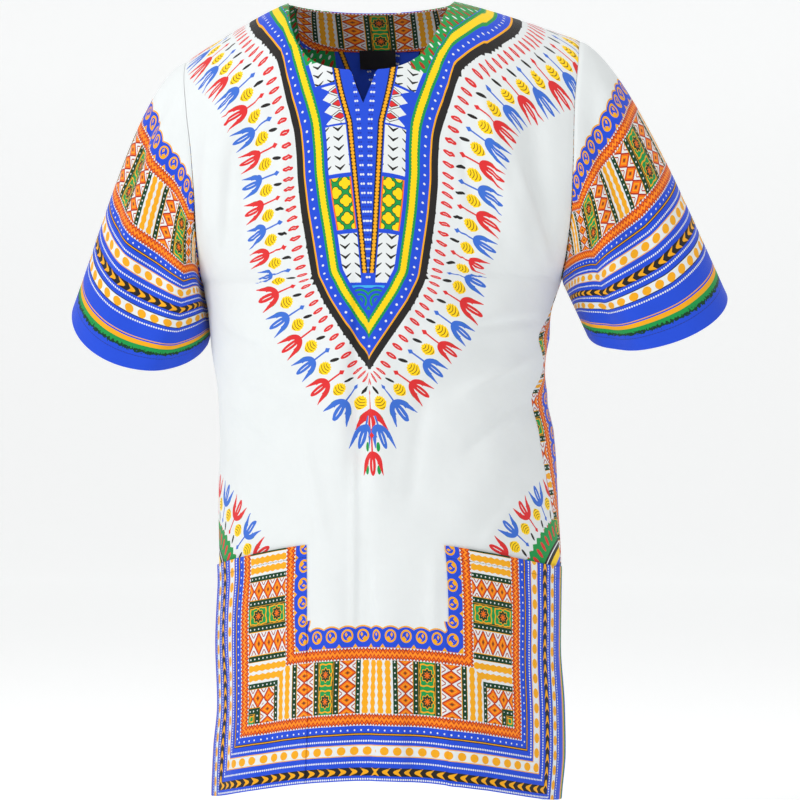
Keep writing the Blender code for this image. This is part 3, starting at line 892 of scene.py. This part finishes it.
class Cloth:  # a material's nodes, with short ways to say common ones
    def __init__(self, material):
        material.use_nodes = True
        self.tree = material.node_tree
        self.shader = self.tree.nodes["Principled BSDF"]

    def node(self, kind, settings=(), inputs=(), output=0):
        made = self.tree.nodes.new(kind)
        for name, value in dict(settings).items():
            setattr(made, name, value)
        for name, value in dict(inputs).items():
            if isinstance(value, Value):
                self.tree.links.new(value.socket, made.inputs[name])
            else:
                made.inputs[name].default_value = value
        return Value(self, made.outputs[output])

    def maths(self, operation, *values, clamp=False):
        return self.node("ShaderNodeMath", {"operation": operation, "use_clamp": clamp}, enumerate(values))

    def lowest(self, first, *others):
        for other in others:
            first = self.maths("MINIMUM", first, other)
        return first

    def highest(self, first, *others):
        for other in others:
            first = self.maths("MAXIMUM", first, other)
        return first

    def near(self, value, pitch, start=0):  # distance to the nearest of start, start + pitch and so on
        return self.maths("PINGPONG", value - start if start else value, pitch / 2)

    def odd(self, value, pitch, start=0):  # 1 where that nearest one is an odd one
        return self.maths("PINGPONG", value - start if start else value, pitch) > pitch / 2

    def within(self, value, pitch, start=0):  # place from -pitch / 2 to pitch / 2 about the nearest one
        return self.maths("WRAP", value - start if start else value, pitch / 2, -pitch / 2)

    def far(self, x, y):  # distance from the middle
        return self.maths("SQRT", x * x + y * y)

    def mapPair(self, name):  # a UV map's two values, in millimetres
        place = self.node("ShaderNodeUVMap", {"uv_map": name})
        scaled = self.node("ShaderNodeVectorMath", {"operation": "SCALE"}, {0: place, "Scale": 1000.0})
        u = self.node("ShaderNodeSeparateXYZ", {}, {0: scaled})
        return u, Value(self, u.socket.node.outputs[1])

    def noise(self, vector, scale, detail):
        return self.node("ShaderNodeTexNoise", {}, {"Vector": vector, "Scale": scale, "Detail": detail})

    def over(self, under, colour, mask):  # a colour painted over another where the mask is 1
        return self.node("ShaderNodeMix", {"data_type": "RGBA"}, {0: mask, 6: under, 7: colour}, 2)

    def steps(self, value, low, high, stripes):
        # Colours in steps: each stripe is (the value that it starts at, its colour)
        scaled = self.maths("MULTIPLY_ADD", value, 1 / (high - low), -low / (high - low), clamp=True)
        colours = self.node("ShaderNodeValToRGB", {}, {0: scaled})
        ramp = colours.socket.node.color_ramp
        ramp.interpolation = "CONSTANT"
        parts = ramp.elements
        while len(parts) > 1:
            parts.remove(parts[-1])
        for number, (start, colour) in enumerate(stripes):
            part = parts[0] if number == 0 else parts.new((start - low) / (high - low))
            part.position = max(0.0, (start - low) / (high - low))
            part.color = linear(colour)
        return colours


def cottonFinish(cloth, colour, look, stitches=None):
    # Colour: the print over faint blotches. Bump: a fine weave of crossed ripples and small soft wrinkles,
    # with the stitches' line pressed in.
    place = cloth.node("ShaderNodeUVMap", {"uv_map": "cloth"})
    u, v = cloth.mapPair("cloth")
    blotch = cloth.noise(place, look["blotchScale"], 3.0)
    shade = cloth.maths("MULTIPLY_ADD", blotch, look["blotchDepth"], 1 - look["blotchDepth"] * 0.5)
    tint = cloth.node("ShaderNodeVectorMath", {"operation": "SCALE"}, {0: colour, "Scale": shade})
    threads = 2 * math.pi / look["threadPitch"]
    weave = cloth.maths("SINE", u * threads) + cloth.maths("SINE", v * threads)
    wrinkle = cloth.noise(place, look["wrinkleScale"], 4.0)
    height = weave * look["weaveDepth"] + wrinkle * look["wrinkleDepth"]
    if stitches is not None:
        tint = cloth.over(tint, linear("black"), stitches * look["stitchDark"])
        height = height - stitches * look["stitchDepth"]
    wanted = {"Height": height, "Strength": look["bumpStrength"], "Distance": mm}
    bump = cloth.node("ShaderNodeBump", {}, wanted)
    cloth.tree.links.new(tint.socket, cloth.shader.inputs["Base Color"])
    cloth.tree.links.new(bump.socket, cloth.shader.inputs["Normal"])
    cloth.shader.inputs["Roughness"].default_value = look["roughness"]
    cloth.shader.inputs["Sheen Weight"].default_value = look["sheen"]
    cloth.shader.inputs["Sheen Roughness"].default_value = 0.5
    cloth.shader.inputs["Specular IOR Level"].default_value = look["specular"]


cottonLook = {
    "blotchScale": 38.0,
    "blotchDepth": 0.05,
    "threadPitch": 0.7,      # millimetres
    "weaveDepth": 0.035,
    "wrinkleScale": 60.0,
    "wrinkleDepth": 1.1,
    "bumpStrength": 0.55,
    "stitchDark": 0.55,
    "stitchDepth": 0.5,
    "roughness": 0.82,
    "sheen": 0.12,
    "specular": 0.25,
}

# The border's bands, in millimetres up from the hem; the sleeves carry the same ones from their cuffs
bandPlan = {
    "sleeveShift": 64,
    "dotted": (-17, 2, 18, 38.5),
    "ovals": (-8.5, 29),
    "ovalPitch": 14.5,
    "chevrons": 9,
    "chevronPitch": 12.5,
    "panelsMiddle": 90.5,
    "panelsHalf": 25.5,
    "zigzagHeight": 12,
    "zigzagPitch": 5.2,
    "toothPitch": 3.7,
    "panelPeriod": 104,
    "ringLine": 139.5,
    "ringPitch": 17.5,
    "ringRadius": 6.3,
    "feather": (-46, -34),
}
bandStripes = (
    (-64, "blue"), (-33, "gold"), (-32.3, "blue"), (-13.5, "black"), (-12.7, "white"), (-4.3, "black"), (-3.5, "blue"),
    (5, "black"), (13, "blue"), (23.4, "gold"), (24, "white"), (34, "gold"), (34.6, "blue"),
    (43.4, "black"), (43.9, "gold"), (45, "black"), (45.4, "blue"), (53, "brick"), (65, "white"), (116, "brick"), (128, "blue"),
)
panelStripes = (  # along the border: wavy yellow, lozenges, wheels and lozenges, with dark edgings between
    (0, "white"), (20, "gold"), (20.7, "darkGreen"), (26.3, "gold"), (27, "white"), (49, "gold"), (49.7, "darkGreen"),
    (55.3, "gold"), (56, "darkGreen"), (57, "green"), (73, "darkGreen"), (74, "gold"), (74.7, "darkGreen"), (80.3, "gold"),
    (81, "white"), (98, "gold"), (98.7, "darkGreen"),
)


def borderPrint(cloth, e, along, under):
    # e: millimetres across the bands, along: millimetres along them. Each motif is a distance formula in its own
    # repeat: ellipses, arrowheads, a triangle wave, lozenges |x| + |y|, rings about their middles.
    plan = bandPlan
    colour = cloth.steps(e, -64, 160, bandStripes)

    # dots in lines, small and close
    toLine = cloth.lowest(*(abs(e - line) for line in plan["dotted"]))
    dots = cloth.far(toLine, cloth.near(along, 2.6)) < 0.95
    colour = cloth.over(colour, linear("white"), dots)
    bigDots = cloth.far(e - 48.8, cloth.near(along, 7.5)) < 0.9
    colour = cloth.over(colour, linear("white"), bigDots)

    # ovals, in two bands
    first, second = plan["ovals"]
    v = cloth.lowest(abs(e - first), abs(e - second))
    w = cloth.near(along, plan["ovalPitch"])
    oval = cloth.far(v / 4.1, w / 4.9)
    colour = cloth.over(colour, linear("gold"), oval < 1)

    # arrowheads with dark tails on the black stripe
    v = abs(e - plan["chevrons"])
    w = cloth.maths("WRAP", along + v * 0.9, plan["chevronPitch"], 0)
    head = cloth.maths("MULTIPLY", (w < 7) * (w > 1), (v + w * 0.45) < 4.6)
    colour = cloth.over(colour, linear("gold"), head)

    # zigzag on both sides of the panels: orange with dark red edges and white teeth outside them
    v = abs(e - plan["panelsMiddle"])
    rise = cloth.near(along, plan["zigzagPitch"]) * 1.3
    inZigzag = (v > plan["panelsHalf"]) * (v < plan["panelsHalf"] + plan["zigzagHeight"])
    height = v - plan["panelsHalf"] - plan["zigzagHeight"] / 2
    bend = abs(height + rise - 1.7)
    zigzag = cloth.over(linear("orange"), linear("amber"), bend < 0.9)
    zigzag = cloth.over(zigzag, linear("brick"), abs(bend - 2.6) < 0.55)
    saw = abs(height) + cloth.near(along, plan["toothPitch"]) * 1.2
    zigzag = cloth.over(zigzag, linear("brick"), saw > 4.9)
    zigzag = cloth.over(zigzag, linear("white"), saw > 6.3)
    colour = cloth.over(colour, zigzag, inZigzag)

    # panels
    inPanel = v < plan["panelsHalf"]
    run = cloth.maths("WRAP", along, plan["panelPeriod"], 0)
    panels = cloth.steps(run, 0, plan["panelPeriod"], panelStripes)
    wave = cloth.near(e, 7.5) * 0.35
    yellow = (abs(run - 5.5) + wave) < 3.6
    yellow = cloth.highest(yellow, (abs(run - 14.5) + wave) < 3.6)
    panels = cloth.over(panels, linear("gold"), yellow)
    toLozenge = cloth.lowest(abs(run - 38), abs(run - 89.5) * 1.2)
    lozenge = toLozenge + cloth.near(e, 13) * 1.75
    panels = cloth.over(panels, linear("brick"), (lozenge < 12.2) * (toLozenge < 10.6))
    panels = cloth.over(panels, linear("orange"), lozenge < 9.6)
    panels = cloth.over(panels, linear("gold"), abs(lozenge - 5.6) < 0.9)
    panels = cloth.over(panels, linear("brown"), lozenge < 2.6)
    between = abs(cloth.near(e, 13, 6.5) * 1.75 + (10.6 - toLozenge) - 5)
    panels = cloth.over(panels, linear("brick"), (toLozenge < 10.6) * (toLozenge > 6) * (between < 1))
    edgeDots = cloth.lowest(abs(run - 23.5), abs(run - 52.5), abs(run - 77.5), abs(run - 101.5))
    panels = cloth.over(panels, linear("white"), cloth.far(edgeDots, cloth.near(e, 5.2)) < 0.8)
    x = run - 65
    y = cloth.within(e, 25.5, plan["panelsMiddle"] + 12.75)
    r = cloth.far(x, y)
    petals = cloth.maths("COSINE", cloth.maths("ARCTAN2", y, x) * 8)
    frameLine = cloth.highest(abs(x) * 1.1, abs(y) * 0.86) + petals * 0.4
    panels = cloth.over(panels, linear("gold"), abs(frameLine - 8.7) < 0.6)
    panels = cloth.over(panels, linear("darkGreen"), r < petals * 0.7 + 6.4)
    panels = cloth.over(panels, linear("gold"), abs(r - petals * 0.8 - 6.2) < 0.45)
    panels = cloth.over(panels, linear("orange"), r < petals * 1.3 + 2.6)
    colour = cloth.over(colour, panels, inPanel)

    # rings on blue, small triangles under them, and the scalloped edge with its gold line
    w = cloth.within(along, plan["ringPitch"])
    v = e - plan["ringLine"]
    r = cloth.far(w, v)
    ring = abs(r - plan["ringRadius"] + 0.9) < 0.95
    leaf = (abs(w - 2.4) + abs(v + 3.0)) < 3.0
    curl = (abs(w + 1.2) + abs(v - 1.2) * 0.6) < 1.5
    inRings = (e > 128) * (e < 152)
    colour = cloth.over(colour, linear("gold"), inRings * cloth.highest(ring, leaf, curl))
    triangle = (cloth.near(along, plan["ringPitch"], plan["ringPitch"] / 2) + (e - 128.5) * 0.8) < 2.7
    colour = cloth.over(colour, linear("gold"), inRings * triangle)
    bulge = cloth.maths("POWER", cloth.near(along, plan["ringPitch"]) / (plan["ringPitch"] / 2), 2) * -2.6
    edge = e - bulge - 149.5
    colour = cloth.over(colour, linear("gold"), edge > -1.4)
    colour = cloth.over(colour, under, edge > 0)
    return colour


def tulip(cloth, w, t, foot):
    # A three-lobed cup on a stem, foot millimetres out: half an oval ring, two lips that lean out and a
    # bud between, each a distance formula, and all of them joined by the highest.
    stem = (w < 0.85) * (abs(t - foot - 8) < 9)
    knot = (w / 2.6 + abs(t - foot - 1) / 3.4) < 1
    rise = t - foot - 28
    head = cloth.far(w / 8.6, rise / 11)
    cup = (abs(head - 0.8) < 0.26) * (rise < 1)
    lips = (abs(w - rise * 0.22 - 7.2) < 2.1 - rise * 0.16) * (abs(rise - 5.5) < 6)
    bud = cloth.far(w / 3.0, (rise - 1) / 11) < 1
    vein = cloth.far(w / 0.4, (rise - 2) / 5.5) < 1
    return cloth.highest(stem, knot, cup, lips, bud) - vein


def flowerRow(cloth, colour, along, t, plan):
    # Rows of flowers that grow outwards, t millimetres from their edge: seeds, then red and blue cups on
    # stems in turn, yellow blobs with brown veins between them, and pairs of leaves. Seeds, blobs and
    # leaves are ellipses in their own repeats.
    pitch = plan["pitch"]
    across = cloth.near(along, plan["seedPitch"])
    seed = cloth.far(across / 2.2, (t - plan["seedMiddle"]) / 5.6)
    slit = (across < 0.2) * (abs(t - plan["seedMiddle"]) < 2.5)
    colour = cloth.over(colour, linear("red"), (seed < 1) - slit)
    between = cloth.near(along, pitch, pitch / 2)
    blobEdge = cloth.far(between / 6.6, (t - 34) / 7.6) + cloth.near(t + between, 3.4) * 0.09
    colour = cloth.over(colour, linear("yellow"), blobEdge < 1)
    vein = cloth.near(cloth.far(between * 1.5, t - 22), 2.9)
    colour = cloth.over(colour, linear("brown"), (vein < 0.36) * (blobEdge < 0.84))
    leaf = cloth.far((between - 5.6 + (t - 46) * 0.3) / 1.7, (t - 45.5) / 4.6)
    colour = cloth.over(colour, linear("green"), leaf < 1)
    dark = cloth.far((cloth.within(along, pitch, pitch / 2) - 1 - (t - 21) * 0.3) / 1.7, (t - 21) / 4.6)
    colour = cloth.over(colour, linear("black"), dark < 1)
    flower = cloth.over(linear("red"), linear("leafBlue"), cloth.odd(along, pitch))
    return cloth.over(colour, flower, tulip(cloth, cloth.near(along, pitch), t, 21))


flowerPlan = {"pitch": 26, "seedPitch": 10.6, "seedMiddle": 9.5}

yokeStripes = (  # from inside the yoke's edge out to it, in millimetres
    (-40, "blue"), (-27.5, "green"), (-25, "yellow"), (-20, "green"), (-17.5, "blue"), (-8, "gold"), (-6.6, "black"),
)
yokePanels = (  # levels of the yoke's panels, in millimetres along the cloth
    (-284, -236),
    (-232, -181),
    (-177, -130),
    (-128, -89),
    (-86, -50),
)


def yokePrint(cloth):
    # Nested bands follow the yoke's edge by their distance from it. Inside them two columns of panels stand beside
    # two beaded lines that meet below, all by the distance from the centre line and the level.
    around, d = cloth.mapPair("yoke")
    u, v = cloth.mapPair("cloth")
    side = abs(u)
    colour = cloth.steps(d, -40, 10, yokeStripes)
    wobble = cloth.near(around, 3.6) * 0.7
    colour = cloth.over(colour, linear("yellow"), abs(d + 22.5) < wobble + 1.9)
    dots = cloth.far(d + 12.6, cloth.near(around, 9.8)) < 1.15
    colour = cloth.over(colour, linear("white"), dots)

    # the panels between the beaded line and the bands
    bead = cloth.highest((v + 274) * 0.083 + 0.5, (v + 130) * 0.26 + 12, 0)
    q = side - bead
    inColumn = (q > 7) * (d < -31)
    x = cloth.within(side - bead * 0.5, 13.5, 21)
    panels = linear("blue")
    arrow = (cloth.near(v + abs(x) * -0.8, 9.6) < 1.5 - abs(x) * 0.2) * (abs(x) < 4.9)
    chevrons = cloth.over(linear("white"), linear("black"), arrow)
    x2 = abs(side - bead * 0.5 - 17.5)
    y2 = cloth.near(v, 12.6, -95.5)
    diamond = x2 * 0.55 + y2
    diamonds = cloth.over(linear("white"), linear("black"), diamond < 6.0)
    diamonds = cloth.over(diamonds, linear("white"), diamond < 5.2)
    diamonds = cloth.over(diamonds, linear("black"), diamond < 3.7)
    diamonds = cloth.over(diamonds, linear("red"), diamond < 3.0)
    diamonds = cloth.over(diamonds, linear("blue"), (x2 * 0.8 - y2) > 5.4)
    x3 = cloth.near(side - bead * 0.5, 19, 17.5)
    y3 = cloth.near(v, 17)
    lobes = cloth.lowest(cloth.far(abs(x3 - 2.9), y3), cloth.far(x3, abs(y3 - 2.9)))
    x4 = cloth.near(side - bead * 0.5, 19, 27)
    y4 = cloth.near(v, 17, 8.5)
    lobes = cloth.lowest(lobes, cloth.far(abs(x4 - 2.9), y4), cloth.far(x4, abs(y4 - 2.9)))
    quatrefoils = cloth.over(linear("green"), linear("darkGreen"), lobes < 3.6)
    quatrefoils = cloth.over(quatrefoils, linear("yellow"), lobes < 2.9)
    quatrefoils = cloth.over(quatrefoils, linear("orange"), cloth.highest(q < 8.4, d > -32.4))
    for (low, high), pattern in zip(yokePanels, (chevrons, quatrefoils, chevrons, diamonds, chevrons)):
        panels = cloth.over(panels, pattern, (v > low) * (v < high))
    colour = cloth.over(colour, panels, inColumn)

    # the middle: dots beside the slit, then the beaded lines
    inside = q < 7
    colour = cloth.over(colour, linear("blue"), inside * (d < -28))
    inner = abs(side - bead * 0.45)
    paleDots = cloth.far(inner - 1.2, cloth.near(v, 9)) < 1.1
    colour = cloth.over(colour, linear("white"), inside * paleDots * (d < -34))
    darkDots = cloth.far(inner - 1.2, cloth.near(v, 9, 4.5)) < 1.0
    colour = cloth.over(colour, linear("deepBlue"), (q < 0) * darkDots)
    beadRow = abs(q - 3) < 2.9
    colour = cloth.over(colour, linear("black"), beadRow * (v > -275))
    colour = cloth.over(colour, linear("gold"), (cloth.far(q - 3, cloth.near(v, 3.6)) < 1.8) * (v > -275))

    # scrolls in the tip: spirals by distance and angle
    x = side - 9
    y = v + 301
    r = cloth.far(x, y)
    turn = cloth.maths("ARCTAN2", y, x) * (4.4 / 2 / math.pi)
    spiral = cloth.within(r - turn, 4.4)
    tip = (v < -284) * (d < -31)
    scroll = cloth.over(linear("blue"), linear("green"), (abs(spiral) < 0.9) * (r < 13))
    scroll = cloth.over(scroll, linear("sky"), (r > 13) * (cloth.near(v, 9) < 1.2))
    colour = cloth.over(colour, scroll, tip)

    # beside the neck: green with red seeds and white petals
    corner = (side > 48) * (v > -60) * (d < -28)
    lean, slope = side + v * 0.5, v - side * 0.4
    seed = cloth.far(cloth.near(lean, 11) / 1.9, cloth.near(slope, 15) / 4.6) < 1
    petal = cloth.far(cloth.near(lean, 11, 5.5) / 1.4, cloth.near(slope, 15, 7.5) / 2.6) < 1
    green = cloth.over(linear("green"), linear("brick"), seed)
    green = cloth.over(green, linear("white"), petal)
    return cloth.over(colour, green, corner)


def flowersPrint(cloth):
    # The ring of flowers round the yoke, on white, a small spray under its tip, and the yoke's black line
    # where they meet
    around, t = cloth.mapPair("ring")
    d = cloth.mapPair("yoke")[1]
    colour = flowerRow(cloth, linear("white"), around, t + 40, flowerPlan)
    u, v = cloth.mapPair("cloth")
    sprayLeaf = cloth.far((abs(u) - 6) / 1.8, cloth.near(v, 22, -398) / 4.6) < 1
    sprayLeaf = sprayLeaf * (v < -425) * (v > -470)
    colour = cloth.over(colour, linear("green"), sprayLeaf)
    leaning = tulip(cloth, abs(abs(u) + v * 0.28 + 111), -1 * v, 404)
    colour = cloth.over(colour, linear("leafBlue"), leaning * (v < -412))
    colour = cloth.over(colour, linear("red"), tulip(cloth, abs(u), -1 * v, 430))
    colour = cloth.over(colour, linear("black"), d < 0)
    colour = cloth.over(colour, linear("gold"), d < -6.6)
    return colour


sidePlan = {"middle": (240, -592), "flowersFrom": 80, "rimRadius": 96, "turnRadius": 122}


def sidePrint(cloth):  # half rounds at the side seams, by the distance and the angle from their middles
    u, v = cloth.mapPair("cloth")
    x = sidePlan["middle"][0] - abs(u)
    y = v - sidePlan["middle"][1]
    r = cloth.far(x, y)
    run = cloth.maths("ARCTAN2", y, x) * sidePlan["turnRadius"]
    colour = flowerRow(cloth, linear("white"), run, r - sidePlan["flowersFrom"], flowerPlan)
    rim = sidePlan["rimRadius"] - cloth.near(run, 12) * 0.7
    colour = cloth.over(colour, linear("green"), r < rim)
    seed = cloth.far(cloth.near(run, 14) / 3.0, (r - 82) / 6.5) < 1
    colour = cloth.over(colour, linear("red"), seed)
    colour = cloth.over(colour, linear("black"), r < 70)
    colour = cloth.over(colour, linear("white"), abs(r - 66) < 0.9)
    colour = cloth.over(colour, linear("yellow"), r < 60)
    colour = cloth.over(colour, linear("blue"), r < 50)
    return colour


def featherStripe(cloth, colour, e):
    # A gold line with green frayed out below it: the place across, roughened by noise, against the
    # stripe's edges.
    low, high = bandPlan["feather"]
    place = cloth.node("ShaderNodeUVMap", {"uv_map": "border"})
    fray = cloth.noise(place, 420.0, 2.0) * 9 - 4.5 + e
    colour = cloth.over(colour, linear("darkGreen"), (fray > low) * (e < high - 3))
    colour = cloth.over(colour, linear("green"), (fray > low + 3) * (e < high - 3))
    return cloth.over(colour, linear("gold"), (e > high - 4.5) * (e < high))


def stitchLine(cloth, distance, run, lines):  # short dashes along lines at these distances from an edge
    offLine = cloth.lowest(*(abs(distance - line) for line in lines))
    return (offLine < 0.35) * (cloth.within(run, 3.0) < 0.9)


def paintCotton():
    plain = Cloth(materials["white"])
    white = plain.node("ShaderNodeRGB")
    white.socket.default_value = linear("white")
    cottonFinish(plain, white, cottonLook)
    for name, drawPrint in (("yoke", yokePrint), ("flowers", flowersPrint), ("side", sidePrint)):
        cloth = Cloth(materials[name])
        cottonFinish(cloth, drawPrint(cloth), cottonLook)

    cloth = Cloth(materials["border"])
    fromPocket, aboveHem = cloth.mapPair("border")
    e = cloth.lowest(fromPocket, aboveHem)
    along = cloth.highest(fromPocket, aboveHem)
    toSide, toTop = cloth.mapPair("edge")
    stitches = stitchLine(cloth, toTop, toSide, (12,))
    colour = featherStripe(cloth, borderPrint(cloth, e, along, linear("white")), e)
    cottonFinish(cloth, colour, cottonLook, stitches)

    cloth = Cloth(materials["sleeve"])
    fromCuff, around = cloth.mapPair("border")
    e = fromCuff - bandPlan["sleeveShift"]
    colour = borderPrint(cloth, e, around, linear("white"))
    colour = featherStripe(cloth, colour, e)
    stitches = stitchLine(cloth, fromCuff, around, (14,))
    cottonFinish(cloth, colour, cottonLook, stitches)

    cloth = Cloth(materials["label"])
    plainBlack = cloth.node("ShaderNodeRGB")
    plainBlack.socket.default_value = linear("label")
    cottonFinish(cloth, plainBlack, {**cottonLook, "threadPitch": 0.4, "wrinkleDepth": 0.3})


paintCotton()
print("cotton painted")


def stageLights():
    floor = bpy.data.meshes.new("floor")
    turns = np.linspace(0, math.pi / 2, 24)
    sweep = [(5 + 1.5 * math.sin(t), 1.5 - 1.5 * math.cos(t)) for t in turns]
    profile = [(-6, 0)] + sweep + [(6.5, 6)]
    ys = np.array(profile)
    xs = np.linspace(-9, 9, 9)
    verts = np.array([[x, y, -0.862 + z] for y, z in ys for x in xs])
    index = np.arange(len(verts)).reshape(len(ys), len(xs))
    quads = np.stack([index[:-1, :-1], index[:-1, 1:], index[1:, 1:], index[1:, :-1]], -1).reshape(-1, 4)
    floor.from_pydata(verts.tolist(), [], quads.tolist())
    floor.shade_smooth()
    made = bpy.data.objects.new("floor", floor)
    bpy.context.collection.objects.link(made)
    paper = bpy.data.materials.new("paper")
    paper.use_nodes = True
    paper.node_tree.nodes["Principled BSDF"].inputs["Base Color"].default_value = (0.93, 0.94, 0.94, 1)
    paper.node_tree.nodes["Principled BSDF"].inputs["Roughness"].default_value = 0.9
    paper.node_tree.nodes["Principled BSDF"].inputs["Emission Color"].default_value = (1, 1, 1, 1)
    paper.node_tree.nodes["Principled BSDF"].inputs["Emission Strength"].default_value = 0.22
    floor.materials.append(paper)


def addLight(name, size, power, place, aim):
    light = bpy.data.lights.new(name, "AREA")
    light.size = size
    light.energy = power
    made = bpy.data.objects.new(name, light)
    made.location = place
    bpy.context.collection.objects.link(made)
    way = np.array(aim) - np.array(place)
    made.rotation_euler = (math.atan2(math.hypot(way[0], way[1]), -way[2]), 0, math.atan2(-way[0], way[1]))


def addCamera():
    turn = math.radians(5)
    target = np.array([0.025 * math.cos(turn), 0.025 * math.sin(turn), -0.397])
    camera = bpy.data.cameras.new("camera")
    camera.sensor_width = 36
    camera.lens = 144
    made = bpy.data.objects.new("camera", camera)
    made.location = target + 3.2 * np.array([math.sin(turn), -math.cos(turn), 0])
    made.rotation_euler = (math.pi / 2, 0, turn)
    bpy.context.collection.objects.link(made)
    bpy.context.scene.camera = made


stageLights()
addLight("keyLight", 1.1, 38, (-2.1, -1.9, 1.1), (0, 0, -0.4))
addLight("fillLight", 2.2, 12, (1.9, -2.4, 0.3), (0, 0, -0.4))
addLight("topLight", 1.8, 14, (0, -0.2, 1.9), (0, 0, -0.4))
addCamera()
world = bpy.data.worlds.new("studio")
world.use_nodes = True
world.node_tree.nodes["Background"].inputs["Color"].default_value = (1, 1, 1, 1)
world.node_tree.nodes["Background"].inputs["Strength"].default_value = 0.6
bpy.context.scene.world = world
bpy.context.scene.view_settings.view_transform = "Standard"
print("floor, lights and camera set")

for name, node, slotName in (
    ("front", "front", "printed_white_cotton"),
    ("back", "back", "printed_white_cotton"),
    ("sleeveLeft", "sleeve_left", "printed_border_cotton"),
    ("sleeveRight", "sleeve_right", "printed_border_cotton"),
    ("pocketLeft", "pocket_left", "printed_border_cotton"),
    ("pocketRight", "pocket_right", "printed_border_cotton"),
    ("neckFacing", "neck_facing", "printed_border_cotton"),
    ("label", "label", "plain_label"),
):
    flat, area = flatSizes[name]
    declare(pieces[name], (node,), slotName, flat, "draped", area=area)
